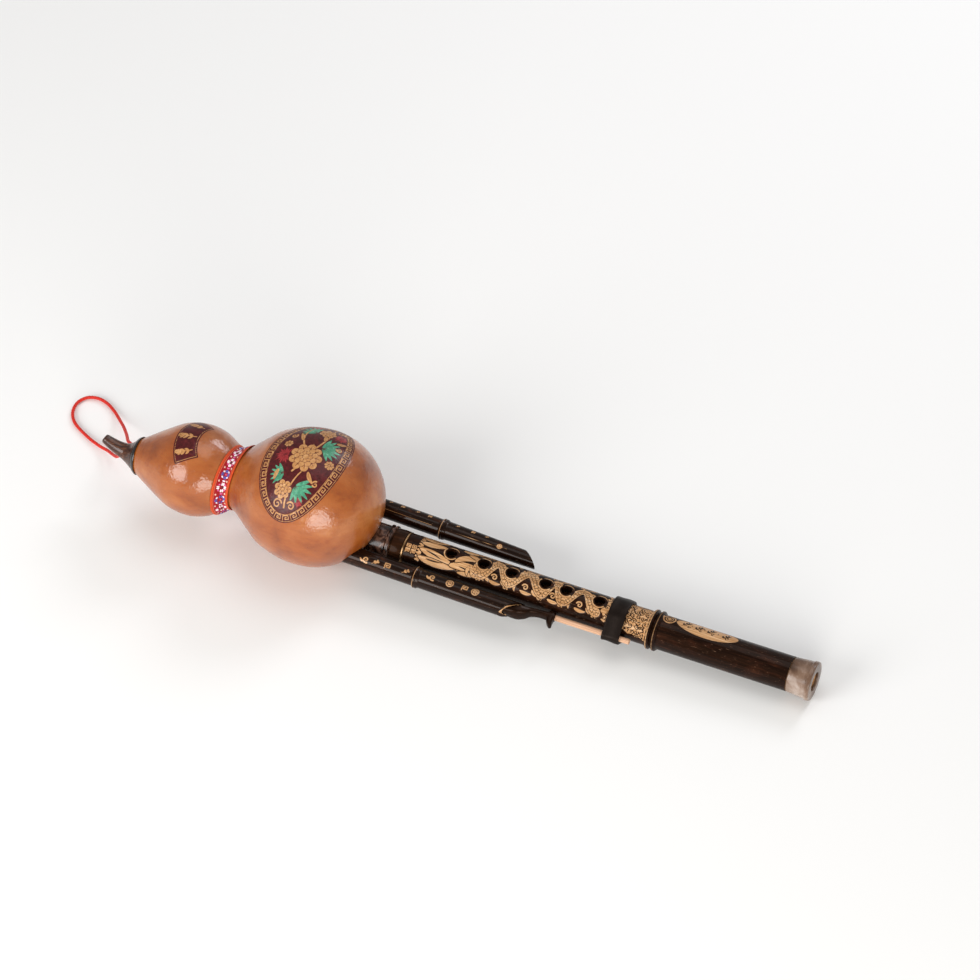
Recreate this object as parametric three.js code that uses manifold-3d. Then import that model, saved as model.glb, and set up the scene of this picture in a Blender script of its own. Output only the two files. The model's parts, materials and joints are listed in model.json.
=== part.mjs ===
// Hulusi, a gourd flute: a hollow two-bulb gourd with a bent mouthpiece, a fingered main pipe
// between two drone pipes, and a sliding stopper for the near drone.
// Millimetres. The flute lies on its back: +X runs towards the foot and +Z is the side with the
// finger holes. The origin is under the middle of the flute, on the surface that it lies on.
import * as THREE from 'three';
import Module from 'manifold-3d';
import { mergeVertices } from 'three/addons/utils/BufferGeometryUtils.js';

const wasm = await Module();
wasm.setup();

// Gourd
const bulbRadius = 39.5;
const gourdWall = 3;
const waistRadius = 17;
const waistFromBulb = 49; // from the big bulb's centre
const smallBulbRadius = 26.8;
const smallBulbFromWaist = 23.5;
const neckRadius = 8.9;
const neckFromSmallBulb = 38.5;
const shoulderShares = [[0.245, 0.947], [0.5, 0.756], [0.663, 0.5], [0.776, 0.298], [0.888, 0.102]];
const riseShares = [[0.2, 0.32], [0.5, 0.75], [0.8, 0.96]];
const neckShares = [[0.15, 0.97], [0.32, 0.87], [0.5, 0.665], [0.75, 0.34]];
const gourdRiseShare = 0.4937; // how far its centre stands in front of the main pipe's axis, of its radius
const gourdSideShift = 0.5; // and this far towards the far drone
const gourdPitch = 3.5; // degrees, the gourd's axis leans back towards its mouthpiece
const gourdYaw = 2.8; // degrees, and towards the near drone

// Mouthpiece
const mouthpieceLength = 19.8;
const mouthpieceBore = 3.2; // diameter
const mouthpieceRise = 7;
const mouthpieceSideShift = 1.4;
const mouthpieceBendShare = 0.5;
const mouthpieceTipRadius = 2.6;
const mouthpieceTipRounding = 0.5;
const mouthpieceRadiusShares = [[0, 1], [0.1, 0.86], [0.22, 0.68], [0.36, 0.54], [0.6, 0.44], [0.85, 0.36]];
const mouthpieceSpigotLength = 7;
const neckCollarWidth = 2.6;
const neckCollarWall = 0.8;

// Waist ribbon
const ribbonWidth = 8.8;
const ribbonThickness = 1.1;
const ribbonLeanUp = 4.7; // degrees
const ribbonLeanSide = 7; // degrees

// Pipe socket, fixed in the gourd's base
const socketRadius = 10.3;
const socketStandout = 8.6; // past the big bulb's pole
const socketInnerLength = 21.5; // of its thick part, from the pole inwards
const socketRidgeHeight = 0.9;
const socketRidgeWidth = 1.7;
const socketRidgeGap = 0.8;
const ridgeTopShare = 0.5; // how much of a ridge's width is its flat top
const reedTubeRadius = 7.4;
const reedTubeBore = 9.2; // diameter
const reedTubeInnerLength = 49.5; // from the big bulb's pole to its reed end

// Main pipe
const mainPipeLength = 253.8; // from its shoulder to the foot
const mainPipeRadius = 10;
const mainPipeBore = 11; // diameter
const tenonRadius = 6.9;
const tenonLength = 20;
const lappingThickness = 0.6;
const lappingEndMargin = 2;
const sleeveLength = 6.6;
const sleeveWall = 1.2;
const sleeveStandout = 0.3;
const sleeveRingWidth = 1;
const nodeFromBand = 21.2; // from the guide band's middle
const nodeRidgeHeight = 1.5;
const nodeRidgeWidth = 3.4;
const nodeRidgeSpacing = 3.6;
const fingerHoleRadius = 3.1;
const fingerHoleShares = [0.1395, 0.2175, 0.2845, 0.3656, 0.4149, 0.4941];
const thumbHoleRadius = 2.8;
const thumbHoleShare = 0.09;
const tuningHoleRadius = 2.4;
const tuningHoleShares = [0.79, 0.86];

// Foot ferrule
const ferruleLength = 13.6;
const ferruleEndRadius = 11.3;
const ferruleEndBand = 3;
const ferruleWaistRadius = 10.8; // just before the end band
const ferruleLip = 1.2;
const ferruleSpigotWall = 3;

// Drone pipes: each runs from its reed end, inside the gourd, to its slanted mouth
const droneRadius = 5.4;
const droneBore = 7.2; // diameter
const farDroneTipRadius = 4.3;
const farDroneTipBore = 5.6; // diameter
const droneInnerLength = 47.5; // from the big bulb's pole to the reed end
const nearDroneReach = 134.3; // from the bulb's centre to the tip
const farDroneReach = 129.8;
const droneMouthSlant = 13; // how much longer the side towards the main pipe is
const droneNodeFromCentre = 70.3;
const droneNodeHeight = 0.8;
const droneNodeWidth = 3.2;
const nearDroneSpacing = 17.4; // sideways from the main pipe, where the drone leaves the gourd
const nearDroneTipSpacing = 18.6;
const nearDroneRise = 2.2; // in front of the main pipe's axis, where the drone leaves the gourd
const nearDroneTipRise = 1;
const farDroneSpacingShare = 0.529; // of the big bulb's radius
const farDroneTipSpacing = 18;
const farDroneRise = 3;
const farDroneTipRise = 2.1;

// Reeds, their wax and the plugs that close the reed ends
const reedThickness = 0.5;
const mainReedLength = 17;
const mainReedWidth = 6;
const droneReedLength = 12.5;
const droneReedWidth = 4;
const reedSlotWidth = 0.35;
const reedTongueLengthShare = 0.7;
const reedTongueWidthShare = 0.42;
const reedWindowLengthShare = 0.76;
const reedWindowWidthShare = 0.56;
const reedSeatWall = 0.9; // wall left over the bore under the reed
const waxWidth = 1;
const waxHeight = 1.1;
const plugDepth = 4;
const plugHeadLength = 2;
const plugToWax = 1.2;
const bedMargin = 3.6;
const bedLength = 36;
const bedDepth = 26.7; // from the big bulb's pole to its inner face

// Stopper of the near drone, its rod and the band that guides it
const rodRadius = 1.6;
const rodLength = 47.5;
const rodGap = 1.9; // between the main pipe and the rod
const rodSocketDepth = 2.6;
const rodChamfer = 0.4;
const stopperPlugLength = 14; // the part inside the bore
const stopperPlugEndRadius = 2.4;
const stopperPlugPlay = 0.6; // all round, in the bore
const stopperHeadRadius = 5.1;
const stopperHeadLength = 6;
const stopperTaperLength = 7;
const stopperTaperEndRadius = 1.5;
const stopperExposedMouth = 4.2; // how much of the mouth's cut face shows in front of the head
const stopperMouthGap = 0.6;
const stopperStripWidth = 5.2;
const stopperStripThickness = 2.7;
const stopperStripLength = 13;
const stopperStripShift = 0.8; // from the rod's axis outwards
const stopperStripRoot = 1; // how far it runs into the hook
const stopperHookWidth = 4.4;
const stopperHookThickness = 5.4;
const stopperHookReach = 7; // from the rod's axis outwards
const stopperHookWall = 1.1; // round the rod, on the side towards the main pipe
const stopperHookShares = { shoulder: 0.5, tipStart: 0.9, tipEnd: 1.3 };
const bandWidth = 10.5;
const bandThickness = 1.5;
const bandShare = 0.7724; // its middle, as a share of the rod

// Cord: a loop that lies on the ground, its ends in a knot behind the mouthpiece
const cordDiameter = 2;
const cordKnotRadius = 2.4;
const cordKnotStemShare = 0.3; // of the mouthpiece's length from the neck
const cordKnotTurn = 38; // degrees round the mouthpiece, from its back towards the far side
const cordTailRadius = 0.9;
const cordTailLength = 1.5; // the part in the mouthpiece
const cordRoute = [ // from the knot, round on the ground and back to the knot
  [-203.7, 1.8, 28.9], [-205.2, 6.5, 26.8], [-208.5, 10.5, 23.7], [-212.8, 14.9, 20],
  [-218.3, 23.2, 14], [-225.6, 32.8, 8], [-232.4, 40.4, 3.6], [-238.6, 46.4, 1.6],
  [-245.4, 50.9, 1.3], [-252.4, 52.8, 1.3], [-258.9, 51.1, 1.3], [-262.7, 45.2, 1.3],
  [-261.7, 37.1, 1.3], [-256.2, 29.9, 1.3], [-245.1, 23.3, 1.4], [-235.4, 19, 2.1],
  [-227.9, 15.6, 4.4], [-220, 9.8, 9.2], [-216.4, 6.6, 13.5], [-213, 3.9, 18.5],
  [-209.3, 1.2, 23.8], [-205.5, -0.1, 28.4],
];

// Fits
const clearance = 0.3; // between pieces that seat in or on one another
const overrun = 2; // how far a cutter runs past what it cuts

// How finely round shapes are drawn
const gourdSegments = 36;
const pipeSegments = 32;
const droneSegments = 24;
const smallSegments = 16;
const holeSegments = 16;
const bulbArcSteps = 7;
const outerSteps = 26;
const innerSteps = 14;
const boreSteps = 5;
const strapSegments = 12;
const cordSides = 8;
const cordSteps = 44;
const mergeDistance = 1e-4;

const degree = Math.PI / 180;

// Sizes that follow the big bulb: the pipes' reed ends lie this far past its centre
const gourdRise = gourdRiseShare * bulbRadius;
const farDroneSpacing = farDroneSpacingShare * bulbRadius;
const reedTubeReach = reedTubeInnerLength - bulbRadius;
const droneReedReach = droneInnerLength - bulbRadius;

// Merges a geometry's shared corners, drops flat triangles and turns its faces outwards
function tidyGeometry(geometry) {
  const bare = geometry.clone();
  bare.deleteAttribute('normal');
  bare.deleteAttribute('uv');
  const merged = mergeVertices(bare.index ? bare.toNonIndexed() : bare, mergeDistance);
  const index = merged.index.array;
  const kept = [];
  for (let i = 0; i < index.length; i += 3) {
    const [a, b, c] = [index[i], index[i + 1], index[i + 2]];
    if (a !== b && b !== c && c !== a) kept.push(a, b, c);
  }
  const position = merged.getAttribute('position');
  const corners = [new THREE.Vector3(), new THREE.Vector3(), new THREE.Vector3()];
  let volume = 0;
  for (let i = 0; i < kept.length; i += 3) {
    corners.forEach((corner, j) => corner.fromBufferAttribute(position, kept[i + j]));
    volume += corners[0].dot(corners[1].clone().cross(corners[2]));
  }
  if (volume < 0) kept.reverse();
  merged.setIndex(kept);
  return merged;
}

function solidOf(geometry) {
  const tidy = tidyGeometry(geometry);
  return new wasm.Manifold(new wasm.Mesh({
    numProp: 3,
    vertProperties: new Float32Array(tidy.getAttribute('position').array),
    triVerts: new Uint32Array(tidy.index.array),
  }));
}

function geometryOf(solid) {
  const { vertProperties, triVerts } = solid.getMesh();
  const geometry = new THREE.BufferGeometry();
  geometry.setAttribute('position', new THREE.BufferAttribute(vertProperties, 3));
  geometry.setIndex(new THREE.BufferAttribute(triVerts, 1));
  return geometry;
}

function cut(geometry, ...cutters) {
  const solid = cutters.reduce((rest, cutter) => rest.subtract(solidOf(cutter)), solidOf(geometry));
  return geometryOf(solid);
}

function join(geometry, ...others) {
  return geometryOf(others.reduce((sum, other) => sum.add(solidOf(other)), solidOf(geometry)));
}

function common(geometry, ...others) {
  return geometryOf(others.reduce((rest, other) => rest.intersect(solidOf(other)), solidOf(geometry)));
}

// A solid turned about the X axis. Its profile is a list of [x, radius] points that starts and
// ends on the axis or closes on itself. Half a segment of turn sets a flat at the back.
function turned(profile, segments) {
  const points = profile.map(([x, radius]) => new THREE.Vector2(radius, x));
  const geometry = new THREE.LatheGeometry(points, segments);
  geometry.rotateZ(-Math.PI / 2);
  geometry.rotateX(Math.PI / segments);
  return tidyGeometry(geometry);
}

function ring(start, end, innerRadius, outerRadius, segments) {
  const corners = [[start, innerRadius], [start, outerRadius], [end, outerRadius], [end, innerRadius]];
  return turned([...corners, corners[0]], segments);
}

function rod(start, end, radius, segments) {
  return turned([[start, 0], [start, radius], [end, radius], [end, 0]], segments);
}

// The profile points of a raised ridge round a pipe
function ridge(middle, width, height, radius) {
  const top = ridgeTopShare * width / 2;
  return [
    [middle - width / 2, radius], [middle - top, radius + height],
    [middle + top, radius + height], [middle + width / 2, radius],
  ];
}

function box(lengthX, widthY, heightZ, x, y, z) {
  return new THREE.BoxGeometry(lengthX, widthY, heightZ).translate(x, y, z);
}

// A round hole's cutter, along Z, from one height to another
function drill(radius, x, fromZ, toZ) {
  const height = toZ - fromZ;
  const geometry = new THREE.CylinderGeometry(radius, radius, height, holeSegments);
  geometry.rotateX(Math.PI / 2);
  return geometry.translate(x, 0, (fromZ + toZ) / 2);
}

// The same kind of profile as turned takes, swept along a bent path: [share of path, radius]
function turnedAlong(path, profile, segments) {
  const up = new THREE.Vector3(0, 0, 1);
  const positions = [];
  const index = [];
  profile.forEach(([share, radius]) => {
    const centre = path.getPointAt(share);
    const tangent = path.getTangentAt(share);
    const side = new THREE.Vector3().crossVectors(up, tangent).normalize();
    const front = new THREE.Vector3().crossVectors(tangent, side);
    for (let i = 0; i < segments; i += 1) {
      const angle = (i / segments) * 2 * Math.PI;
      const point = centre.clone();
      point.addScaledVector(side, radius * Math.cos(angle));
      point.addScaledVector(front, radius * Math.sin(angle));
      positions.push(point.x, point.y, point.z);
    }
  });
  for (let row = 0; row < profile.length - 1; row += 1) {
    for (let i = 0; i < segments; i += 1) {
      const [a, b] = [row * segments + i, row * segments + (i + 1) % segments];
      index.push(a, b, a + segments, b, b + segments, a + segments);
    }
  }
  const geometry = new THREE.BufferGeometry();
  geometry.setAttribute('position', new THREE.Float32BufferAttribute(positions, 3));
  geometry.setIndex(index);
  return tidyGeometry(geometry);
}

function finish(name, geometry, color, roughness, metalness = 0) {
  const material = new THREE.MeshStandardMaterial({ color, roughness, metalness });
  const mesh = new THREE.Mesh(tidyGeometry(geometry), material);
  mesh.geometry.computeVertexNormals();
  mesh.name = name;
  return mesh;
}

// The gourd's outline from the big bulb's pole to the neck, moved inwards by an inset
const waistX = -waistFromBulb;
const smallBulbX = waistX - smallBulbFromWaist;
const neckX = smallBulbX - neckFromSmallBulb;

const outlinePoints = [];
for (let i = 0; i <= bulbArcSteps; i += 1) {
  const angle = (i / bulbArcSteps) * (Math.PI / 2);
  outlinePoints.push(new THREE.Vector2(bulbRadius * Math.cos(angle), bulbRadius * Math.sin(angle)));
}

// Adds outline points between two radii, at shares of the run and of the rise
function addOutline(shares, startX, run, lowRadius, highRadius) {
  shares.forEach(([runShare, riseShare]) => outlinePoints.push(new THREE.Vector2(
    startX - runShare * run,
    lowRadius + riseShare * (highRadius - lowRadius),
  )));
}
addOutline(shoulderShares, 0, waistFromBulb, waistRadius, bulbRadius);
outlinePoints.push(new THREE.Vector2(waistX, waistRadius));
addOutline(riseShares, waistX, smallBulbFromWaist, waistRadius, smallBulbRadius);
outlinePoints.push(new THREE.Vector2(smallBulbX, smallBulbRadius));
addOutline(neckShares, smallBulbX, neckFromSmallBulb, neckRadius, smallBulbRadius);
outlinePoints.push(new THREE.Vector2(neckX, neckRadius));
const outline = new THREE.SplineCurve(outlinePoints);

function gourdOutline(inset, steps) {
  const points = [];
  for (let i = 0; i <= steps; i += 1) {
    const share = i / steps;
    const point = outline.getPointAt(share);
    const tangent = outline.getTangentAt(share);
    const x = i === steps ? neckX : point.x - inset * (i === 0 ? 1 : tangent.y);
    const radius = i === 0 ? 0 : point.y + inset * tangent.x;
    points.push([x, radius]);
  }
  return points;
}

// Places a piece's own X axis along a line of the instrument
function alongLine(object, start, end) {
  object.position.copy(start);
  object.quaternion.setFromUnitVectors(new THREE.Vector3(1, 0, 0), end.clone().sub(start).normalize());
  object.updateMatrixWorld(true);
  return object;
}

// The drones' axes, each from a point inside the gourd to the tip. Near is -Y and far is +Y.
function droneLine(spacing, tipSpacing, rise, tipRise, reach, side) {
  const wallX = Math.sqrt(bulbRadius ** 2 - (gourdRise ** 2 + spacing ** 2));
  const tip = new THREE.Vector3(reach, side * tipSpacing, tipRise);
  const wall = new THREE.Vector3(wallX, side * spacing, rise);
  const direction = wall.clone().sub(tip).normalize();
  const run = (reach + droneReedReach) / -direction.x;
  return { start: tip.clone().addScaledVector(direction, run), tip, length: run };
}
const nearLine = droneLine(
  nearDroneSpacing, nearDroneTipSpacing, nearDroneRise, nearDroneTipRise, nearDroneReach, -1,
);
const farLine = droneLine(
  farDroneSpacing, farDroneTipSpacing, farDroneRise, farDroneTipRise, farDroneReach, 1,
);

// Reed seat on the front of a tube: a flat, a window into the bore, the reed and its wax frame
function reedSeatHeight(boreDiameter) {
  return boreDiameter / 2 + reedSeatWall;
}

function cutReedSeat(geometry, x, tubeRadius, boreDiameter, reedLength, reedWidth) {
  const seat = reedSeatHeight(boreDiameter);
  const seatLength = reedLength + 2 * (clearance + waxWidth + clearance);
  const flatHeight = tubeRadius - seat + overrun;
  const flat = box(seatLength, 2 * tubeRadius, flatHeight, x, 0, seat + flatHeight / 2);
  const windowLength = reedWindowLengthShare * reedLength;
  const windowWidth = reedWindowWidthShare * reedWidth;
  const windowHeight = seat + overrun;
  const window = box(windowLength, windowWidth, windowHeight, x, 0, windowHeight / 2);
  return cut(geometry, flat, window);
}

// The tongue stays joined to its plate at one end, between two slots that meet at its tip
function reedPlate(x, boreDiameter, reedLength, reedWidth) {
  const bottom = reedSeatHeight(boreDiameter) + clearance;
  const tongueLength = reedTongueLengthShare * reedLength;
  const tongueWidth = reedTongueWidthShare * reedWidth;
  const slotLength = Math.hypot(tongueLength, tongueWidth / 2);
  const lean = Math.atan2(tongueWidth / 2, tongueLength);
  const slots = [-1, 1].map((side) => {
    const slot = box(slotLength, reedSlotWidth, reedThickness + overrun, 0, 0, 0);
    return slot.rotateZ(side * lean).translate(0, -side * tongueWidth / 4, reedThickness / 2);
  });
  const plate = box(reedLength, reedWidth, reedThickness, 0, 0, reedThickness / 2);
  return cut(plate, ...slots).translate(x, 0, bottom);
}

function waxFrame(x, boreDiameter, reedLength, reedWidth) {
  const bottom = reedSeatHeight(boreDiameter) + clearance;
  const innerLength = reedLength + 2 * clearance;
  const innerWidth = reedWidth + 2 * clearance;
  const outer = box(innerLength + 2 * waxWidth, innerWidth + 2 * waxWidth, waxHeight, 0, 0, waxHeight / 2);
  const inner = box(innerLength, innerWidth, waxHeight + overrun, 0, 0, waxHeight / 2);
  return cut(outer, inner).translate(x, 0, bottom);
}

// Where a reed's middle lies, past the plugged end of its tube
function reedMiddle(reedLength) {
  return plugDepth + plugToWax + waxWidth + clearance + reedLength / 2;
}

function endPlug(endX, boreDiameter, tubeRadius) {
  const spigotRadius = boreDiameter / 2 - clearance;
  const face = endX - clearance;
  return turned([
    [face - plugHeadLength, 0], [face - plugHeadLength, tubeRadius], [face, tubeRadius],
    [face, spigotRadius], [endX + plugDepth, spigotRadius], [endX + plugDepth, 0],
  ], smallSegments);
}

// Socket and reed tube for the main pipe: one turned piece, along the instrument's X axis
const socketMouthX = bulbRadius + socketStandout;
const tenonBoreRadius = tenonRadius + clearance + lappingThickness + clearance;
const tenonBoreEndX = socketMouthX - tenonLength - clearance;

function socketProfile() {
  const reedEndX = -reedTubeReach;
  const innerStart = bulbRadius - socketInnerLength;
  const ridges = [1, 0].flatMap((i) => {
    const middle = socketMouthX - socketRidgeWidth / 2 - i * (socketRidgeWidth + socketRidgeGap);
    return ridge(middle, socketRidgeWidth, socketRidgeHeight, socketRadius);
  });
  const profile = [
    [reedEndX, reedTubeBore / 2], [reedEndX, reedTubeRadius], [innerStart, reedTubeRadius],
    [innerStart, socketRadius], ...ridges, [socketMouthX, tenonBoreRadius],
    [tenonBoreEndX, tenonBoreRadius], [tenonBoreEndX, reedTubeBore / 2],
  ];
  return [...profile, profile[0]];
}

const mainReedX = reedMiddle(mainReedLength) - reedTubeReach;

function socketGeometry() {
  const tube = turned(socketProfile(), pipeSegments);
  return cutReedSeat(tube, mainReedX, reedTubeRadius, reedTubeBore, mainReedLength, mainReedWidth);
}

// Drone pipes, drawn along their own X axis from the reed end
const droneReedX = reedMiddle(droneReedLength);

function droneGeometry(line, tipRadius, tipBore, side) {
  const nodeX = droneReedReach + droneNodeFromCentre;
  const profile = [
    [0, droneBore / 2], [0, droneRadius], ...ridge(nodeX, droneNodeWidth, droneNodeHeight, droneRadius),
    [line.length, tipRadius], [line.length, tipBore / 2], [nodeX, droneBore / 2],
  ];
  const pipe = turned([...profile, profile[0]], droneSegments);
  const seated = cutReedSeat(pipe, droneReedX, droneRadius, droneBore, droneReedLength, droneReedWidth);
  return cut(seated, mouthCutter(line, droneRadius, side, 0));
}

// A block whose slanted face cuts a drone's mouth. The long side faces the main pipe.
function mouthCutter(line, radius, side, shift) {
  const slant = Math.atan2(droneMouthSlant, 2 * radius);
  const size = 2 * (droneMouthSlant + 2 * radius);
  const block = box(size, size, size, size / 2, 0, 0).rotateZ(side * slant);
  return block.translate(line.length - droneMouthSlant / 2 + shift, 0, 0);
}

// Gourd shell, with its pipe holes cut in the instrument's frame
const gourd = new THREE.Group();
gourd.position.set(0, gourdSideShift, gourdRise);
gourd.rotation.set(0, -gourdPitch * degree, gourdYaw * degree, 'ZYX');
gourd.updateMatrixWorld(true);
const intoGourd = gourd.matrixWorld.clone().invert();

function pipeCutters(extra) {
  const far = rod(-overrun, farLine.length, droneRadius + extra, droneSegments);
  const near = rod(-overrun, nearLine.length, droneRadius + extra, droneSegments);
  const main = rod(-reedTubeReach, socketMouthX + overrun, socketRadius + extra, pipeSegments);
  far.applyMatrix4(alongLine(new THREE.Object3D(), farLine.start, farLine.tip).matrixWorld);
  near.applyMatrix4(alongLine(new THREE.Object3D(), nearLine.start, nearLine.tip).matrixWorld);
  return [far, near, main];
}

function shellGeometry() {
  const profile = [...gourdOutline(0, outerSteps), ...gourdOutline(gourdWall, innerSteps).reverse()];
  const holes = pipeCutters(clearance).map((cutter) => cutter.applyMatrix4(intoGourd));
  return cut(turned(profile, gourdSegments), ...holes);
}

// Bed that seals the three pipes in the gourd's base: the hollow's own shape around them
function bedGeometry() {
  const height = 2 * (socketRadius + bedMargin);
  const nearEdge = nearDroneSpacing + droneRadius + bedMargin;
  const farEdge = farDroneSpacing + droneRadius + bedMargin;
  const middleY = (farEdge - nearEdge) / 2;
  const middleX = bulbRadius - bedDepth + bedLength / 2;
  const block = box(bedLength, nearEdge + farEdge, height, middleX, middleY, 0);
  const hollow = turned([...gourdOutline(gourdWall + clearance, innerSteps), [neckX, 0]], gourdSegments);
  hollow.applyMatrix4(gourd.matrixWorld);
  return cut(common(block, hollow), ...pipeCutters(clearance));
}

// Mouthpiece, bent towards the front, with a spigot in the gourd's neck
const neckFace = new THREE.Vector3(neckX - clearance, 0, 0);
const mouthpiecePath = new THREE.CurvePath();
mouthpiecePath.add(new THREE.LineCurve3(new THREE.Vector3(neckX + mouthpieceSpigotLength, 0, 0), neckFace));
mouthpiecePath.add(new THREE.QuadraticBezierCurve3(
  neckFace,
  new THREE.Vector3(neckX - mouthpieceBendShare * mouthpieceLength, 0, 0),
  new THREE.Vector3(neckX - mouthpieceLength, mouthpieceSideShift, mouthpieceRise),
));
const pathLength = mouthpiecePath.getLength();
const neckShare = (mouthpieceSpigotLength + clearance) / pathLength;

function stemPathShare(stemShare) {
  return neckShare + stemShare * (1 - neckShare);
}

function mouthpieceGeometry() {
  const spigotRadius = neckRadius - gourdWall - clearance;
  const stem = mouthpieceRadiusShares.map(([run, radius]) => [stemPathShare(run), radius * neckRadius]);
  const boreRadius = mouthpieceBore / 2;
  const bore = Array.from({ length: boreSteps + 1 }, (_, i) => [1 - i / boreSteps, boreRadius]);
  const roundingStart = 1 - mouthpieceTipRounding / pathLength;
  const profile = [
    [0, spigotRadius], [neckShare, spigotRadius], ...stem, [roundingStart, mouthpieceTipRadius],
    [1, mouthpieceTipRadius - mouthpieceTipRounding], ...bore,
  ];
  const body = turnedAlong(mouthpiecePath, [...profile, profile[0]], droneSegments);
  const knot = knotPlace();
  const hole = rod(-cordTailLength - clearance, cordKnotRadius, cordTailRadius + clearance, cordSides);
  return cut(body, hole.applyMatrix4(knot));
}

// The knot's place: its X axis points out of the mouthpiece, from the surface
function knotPlace() {
  const share = stemPathShare(cordKnotStemShare);
  const next = mouthpieceRadiusShares.findIndex(([run]) => run > cordKnotStemShare);
  const [[lowRun, lowRadius], [highRun, highRadius]] = mouthpieceRadiusShares.slice(next - 1, next + 1);
  const part = (cordKnotStemShare - lowRun) / (highRun - lowRun);
  const radius = neckRadius * (lowRadius + part * (highRadius - lowRadius));
  const tangent = mouthpiecePath.getTangentAt(share);
  const side = new THREE.Vector3(0, 0, 1).cross(tangent).normalize();
  const out = side.clone().cross(tangent).normalize().applyAxisAngle(tangent, -cordKnotTurn * degree);
  const surface = mouthpiecePath.getPointAt(share).addScaledVector(out, radius);
  return new THREE.Matrix4().makeBasis(out, tangent.clone().cross(out), tangent).setPosition(surface);
}

// Cord loop, along its route from the knot and back
function cordGeometry() {
  const section = new THREE.Shape();
  for (let i = 0; i < cordSides; i += 1) {
    const angle = ((i + 0.5) / cordSides) * 2 * Math.PI;
    const corner = [cordDiameter / 2 * Math.cos(angle), cordDiameter / 2 * Math.sin(angle)];
    if (i === 0) section.moveTo(...corner);
    else section.lineTo(...corner);
  }
  section.closePath();
  const extrudePath = new THREE.CatmullRomCurve3(cordRoute.map((point) => new THREE.Vector3(...point)));
  return new THREE.ExtrudeGeometry(section, { steps: cordSteps, bevelEnabled: false, extrudePath });
}

// A layer of even thickness over the whole gourd, and the slice of it between two places
function gourdLayer(thickness, slice) {
  const inner = gourdOutline(-clearance, outerSteps);
  const outer = gourdOutline(-clearance - thickness, outerSteps);
  return common(turned([...outer, ...inner.reverse()], gourdSegments), slice);
}

// Black lacquer collar over the joint between the neck and the mouthpiece's flare
function neckCollarGeometry() {
  return gourdLayer(neckCollarWall, rod(neckX - overrun, neckX + neckCollarWidth, bulbRadius, smallSegments));
}

// Ribbon round the waist, following the gourd and leaning a little
function ribbonGeometry() {
  const slice = rod(-ribbonWidth / 2, ribbonWidth / 2, bulbRadius, smallSegments);
  slice.rotateY(ribbonLeanUp * degree).rotateZ(-ribbonLeanSide * degree).translate(waistX, 0, 0);
  return gourdLayer(ribbonThickness, slice);
}

// The stopper's parts in the order that they follow each other along the rod's line
const rodY = -(mainPipeRadius + rodGap + rodRadius);
const stripStartX = nearDroneReach + stopperMouthGap;
const hookX = stripStartX + stopperStripLength;
const rodStartX = hookX + stopperHookWidth - rodSocketDepth;

// Main pipe, drawn from its shoulder at the socket's mouth. The band on it follows the rod.
const mainPipeX = socketMouthX + clearance;
const bandMiddle = rodStartX + bandShare * rodLength - mainPipeX;
const sleeveRadius = mainPipeRadius + sleeveStandout;
const sleeveSeatRadius = sleeveRadius - sleeveWall - clearance;
const ferruleStart = mainPipeLength - ferruleLength;
const ferruleSeatRadius = mainPipeRadius - ferruleSpigotWall + clearance;

function mainPipeGeometry() {
  const sleeveEnd = clearance + sleeveLength + clearance + sleeveRingWidth + clearance;
  const ridges = [-1, 1].flatMap((side) => {
    const middle = bandMiddle + nodeFromBand + side * nodeRidgeSpacing / 2;
    return ridge(middle, nodeRidgeWidth, nodeRidgeHeight, mainPipeRadius);
  });
  const spigotEnd = mainPipeLength - ferruleLip - clearance;
  const profile = [
    [-tenonLength, mainPipeBore / 2], [-tenonLength, tenonRadius], [0, tenonRadius],
    [0, sleeveSeatRadius], [sleeveEnd, sleeveSeatRadius], [sleeveEnd, mainPipeRadius], ...ridges,
    [ferruleStart - clearance, mainPipeRadius], [ferruleStart - clearance, ferruleSeatRadius - clearance],
    [spigotEnd, ferruleSeatRadius - clearance], [spigotEnd, mainPipeBore / 2],
  ];
  const pipe = turned([...profile, profile[0]], pipeSegments);
  const top = mainPipeRadius + nodeRidgeHeight + overrun;
  const holes = fingerHoleShares.map((share) => drill(fingerHoleRadius, share * mainPipeLength, 0, top));
  const thumb = drill(thumbHoleRadius, thumbHoleShare * mainPipeLength, -top, 0);
  const tuning = tuningHoleShares.map((share) => drill(tuningHoleRadius, share * mainPipeLength, -top, 0));
  return cut(pipe, ...holes, thumb, ...tuning);
}

function ferruleGeometry() {
  const bandStart = mainPipeLength - ferruleEndBand;
  const profile = [
    [ferruleStart, ferruleSeatRadius], [ferruleStart, mainPipeRadius],
    [bandStart, ferruleWaistRadius], [bandStart, ferruleEndRadius],
    [mainPipeLength, ferruleEndRadius], [mainPipeLength, mainPipeBore / 2],
    [mainPipeLength - ferruleLip, mainPipeBore / 2], [mainPipeLength - ferruleLip, ferruleSeatRadius],
  ];
  return turned([...profile, profile[0]], pipeSegments);
}

// Guide band: a strap round the main pipe and the rod beside it, seen along the pipe
function strapOutline(extra, target) {
  const [bigRadius, smallRadius] = [mainPipeRadius + clearance + extra, rodRadius + clearance + extra];
  const tangentAngle = Math.acos((bigRadius - smallRadius) / -rodY);
  target.absarc(0, 0, bigRadius, Math.PI + tangentAngle, 3 * Math.PI - tangentAngle, false);
  target.absarc(rodY, 0, smallRadius, Math.PI - tangentAngle, Math.PI + tangentAngle, false);
  target.closePath();
  return target;
}

// Turns a shape drawn in the YZ plane, and extruded, to run along X
function extrudeAlongX(shape, start, length) {
  const settings = { depth: length, bevelEnabled: false, curveSegments: strapSegments };
  const geometry = new THREE.ExtrudeGeometry(shape, settings);
  const axes = new THREE.Matrix4().makeBasis(
    new THREE.Vector3(0, 1, 0), new THREE.Vector3(0, 0, 1), new THREE.Vector3(1, 0, 0),
  );
  return geometry.applyMatrix4(axes).translate(start, 0, 0);
}

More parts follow.
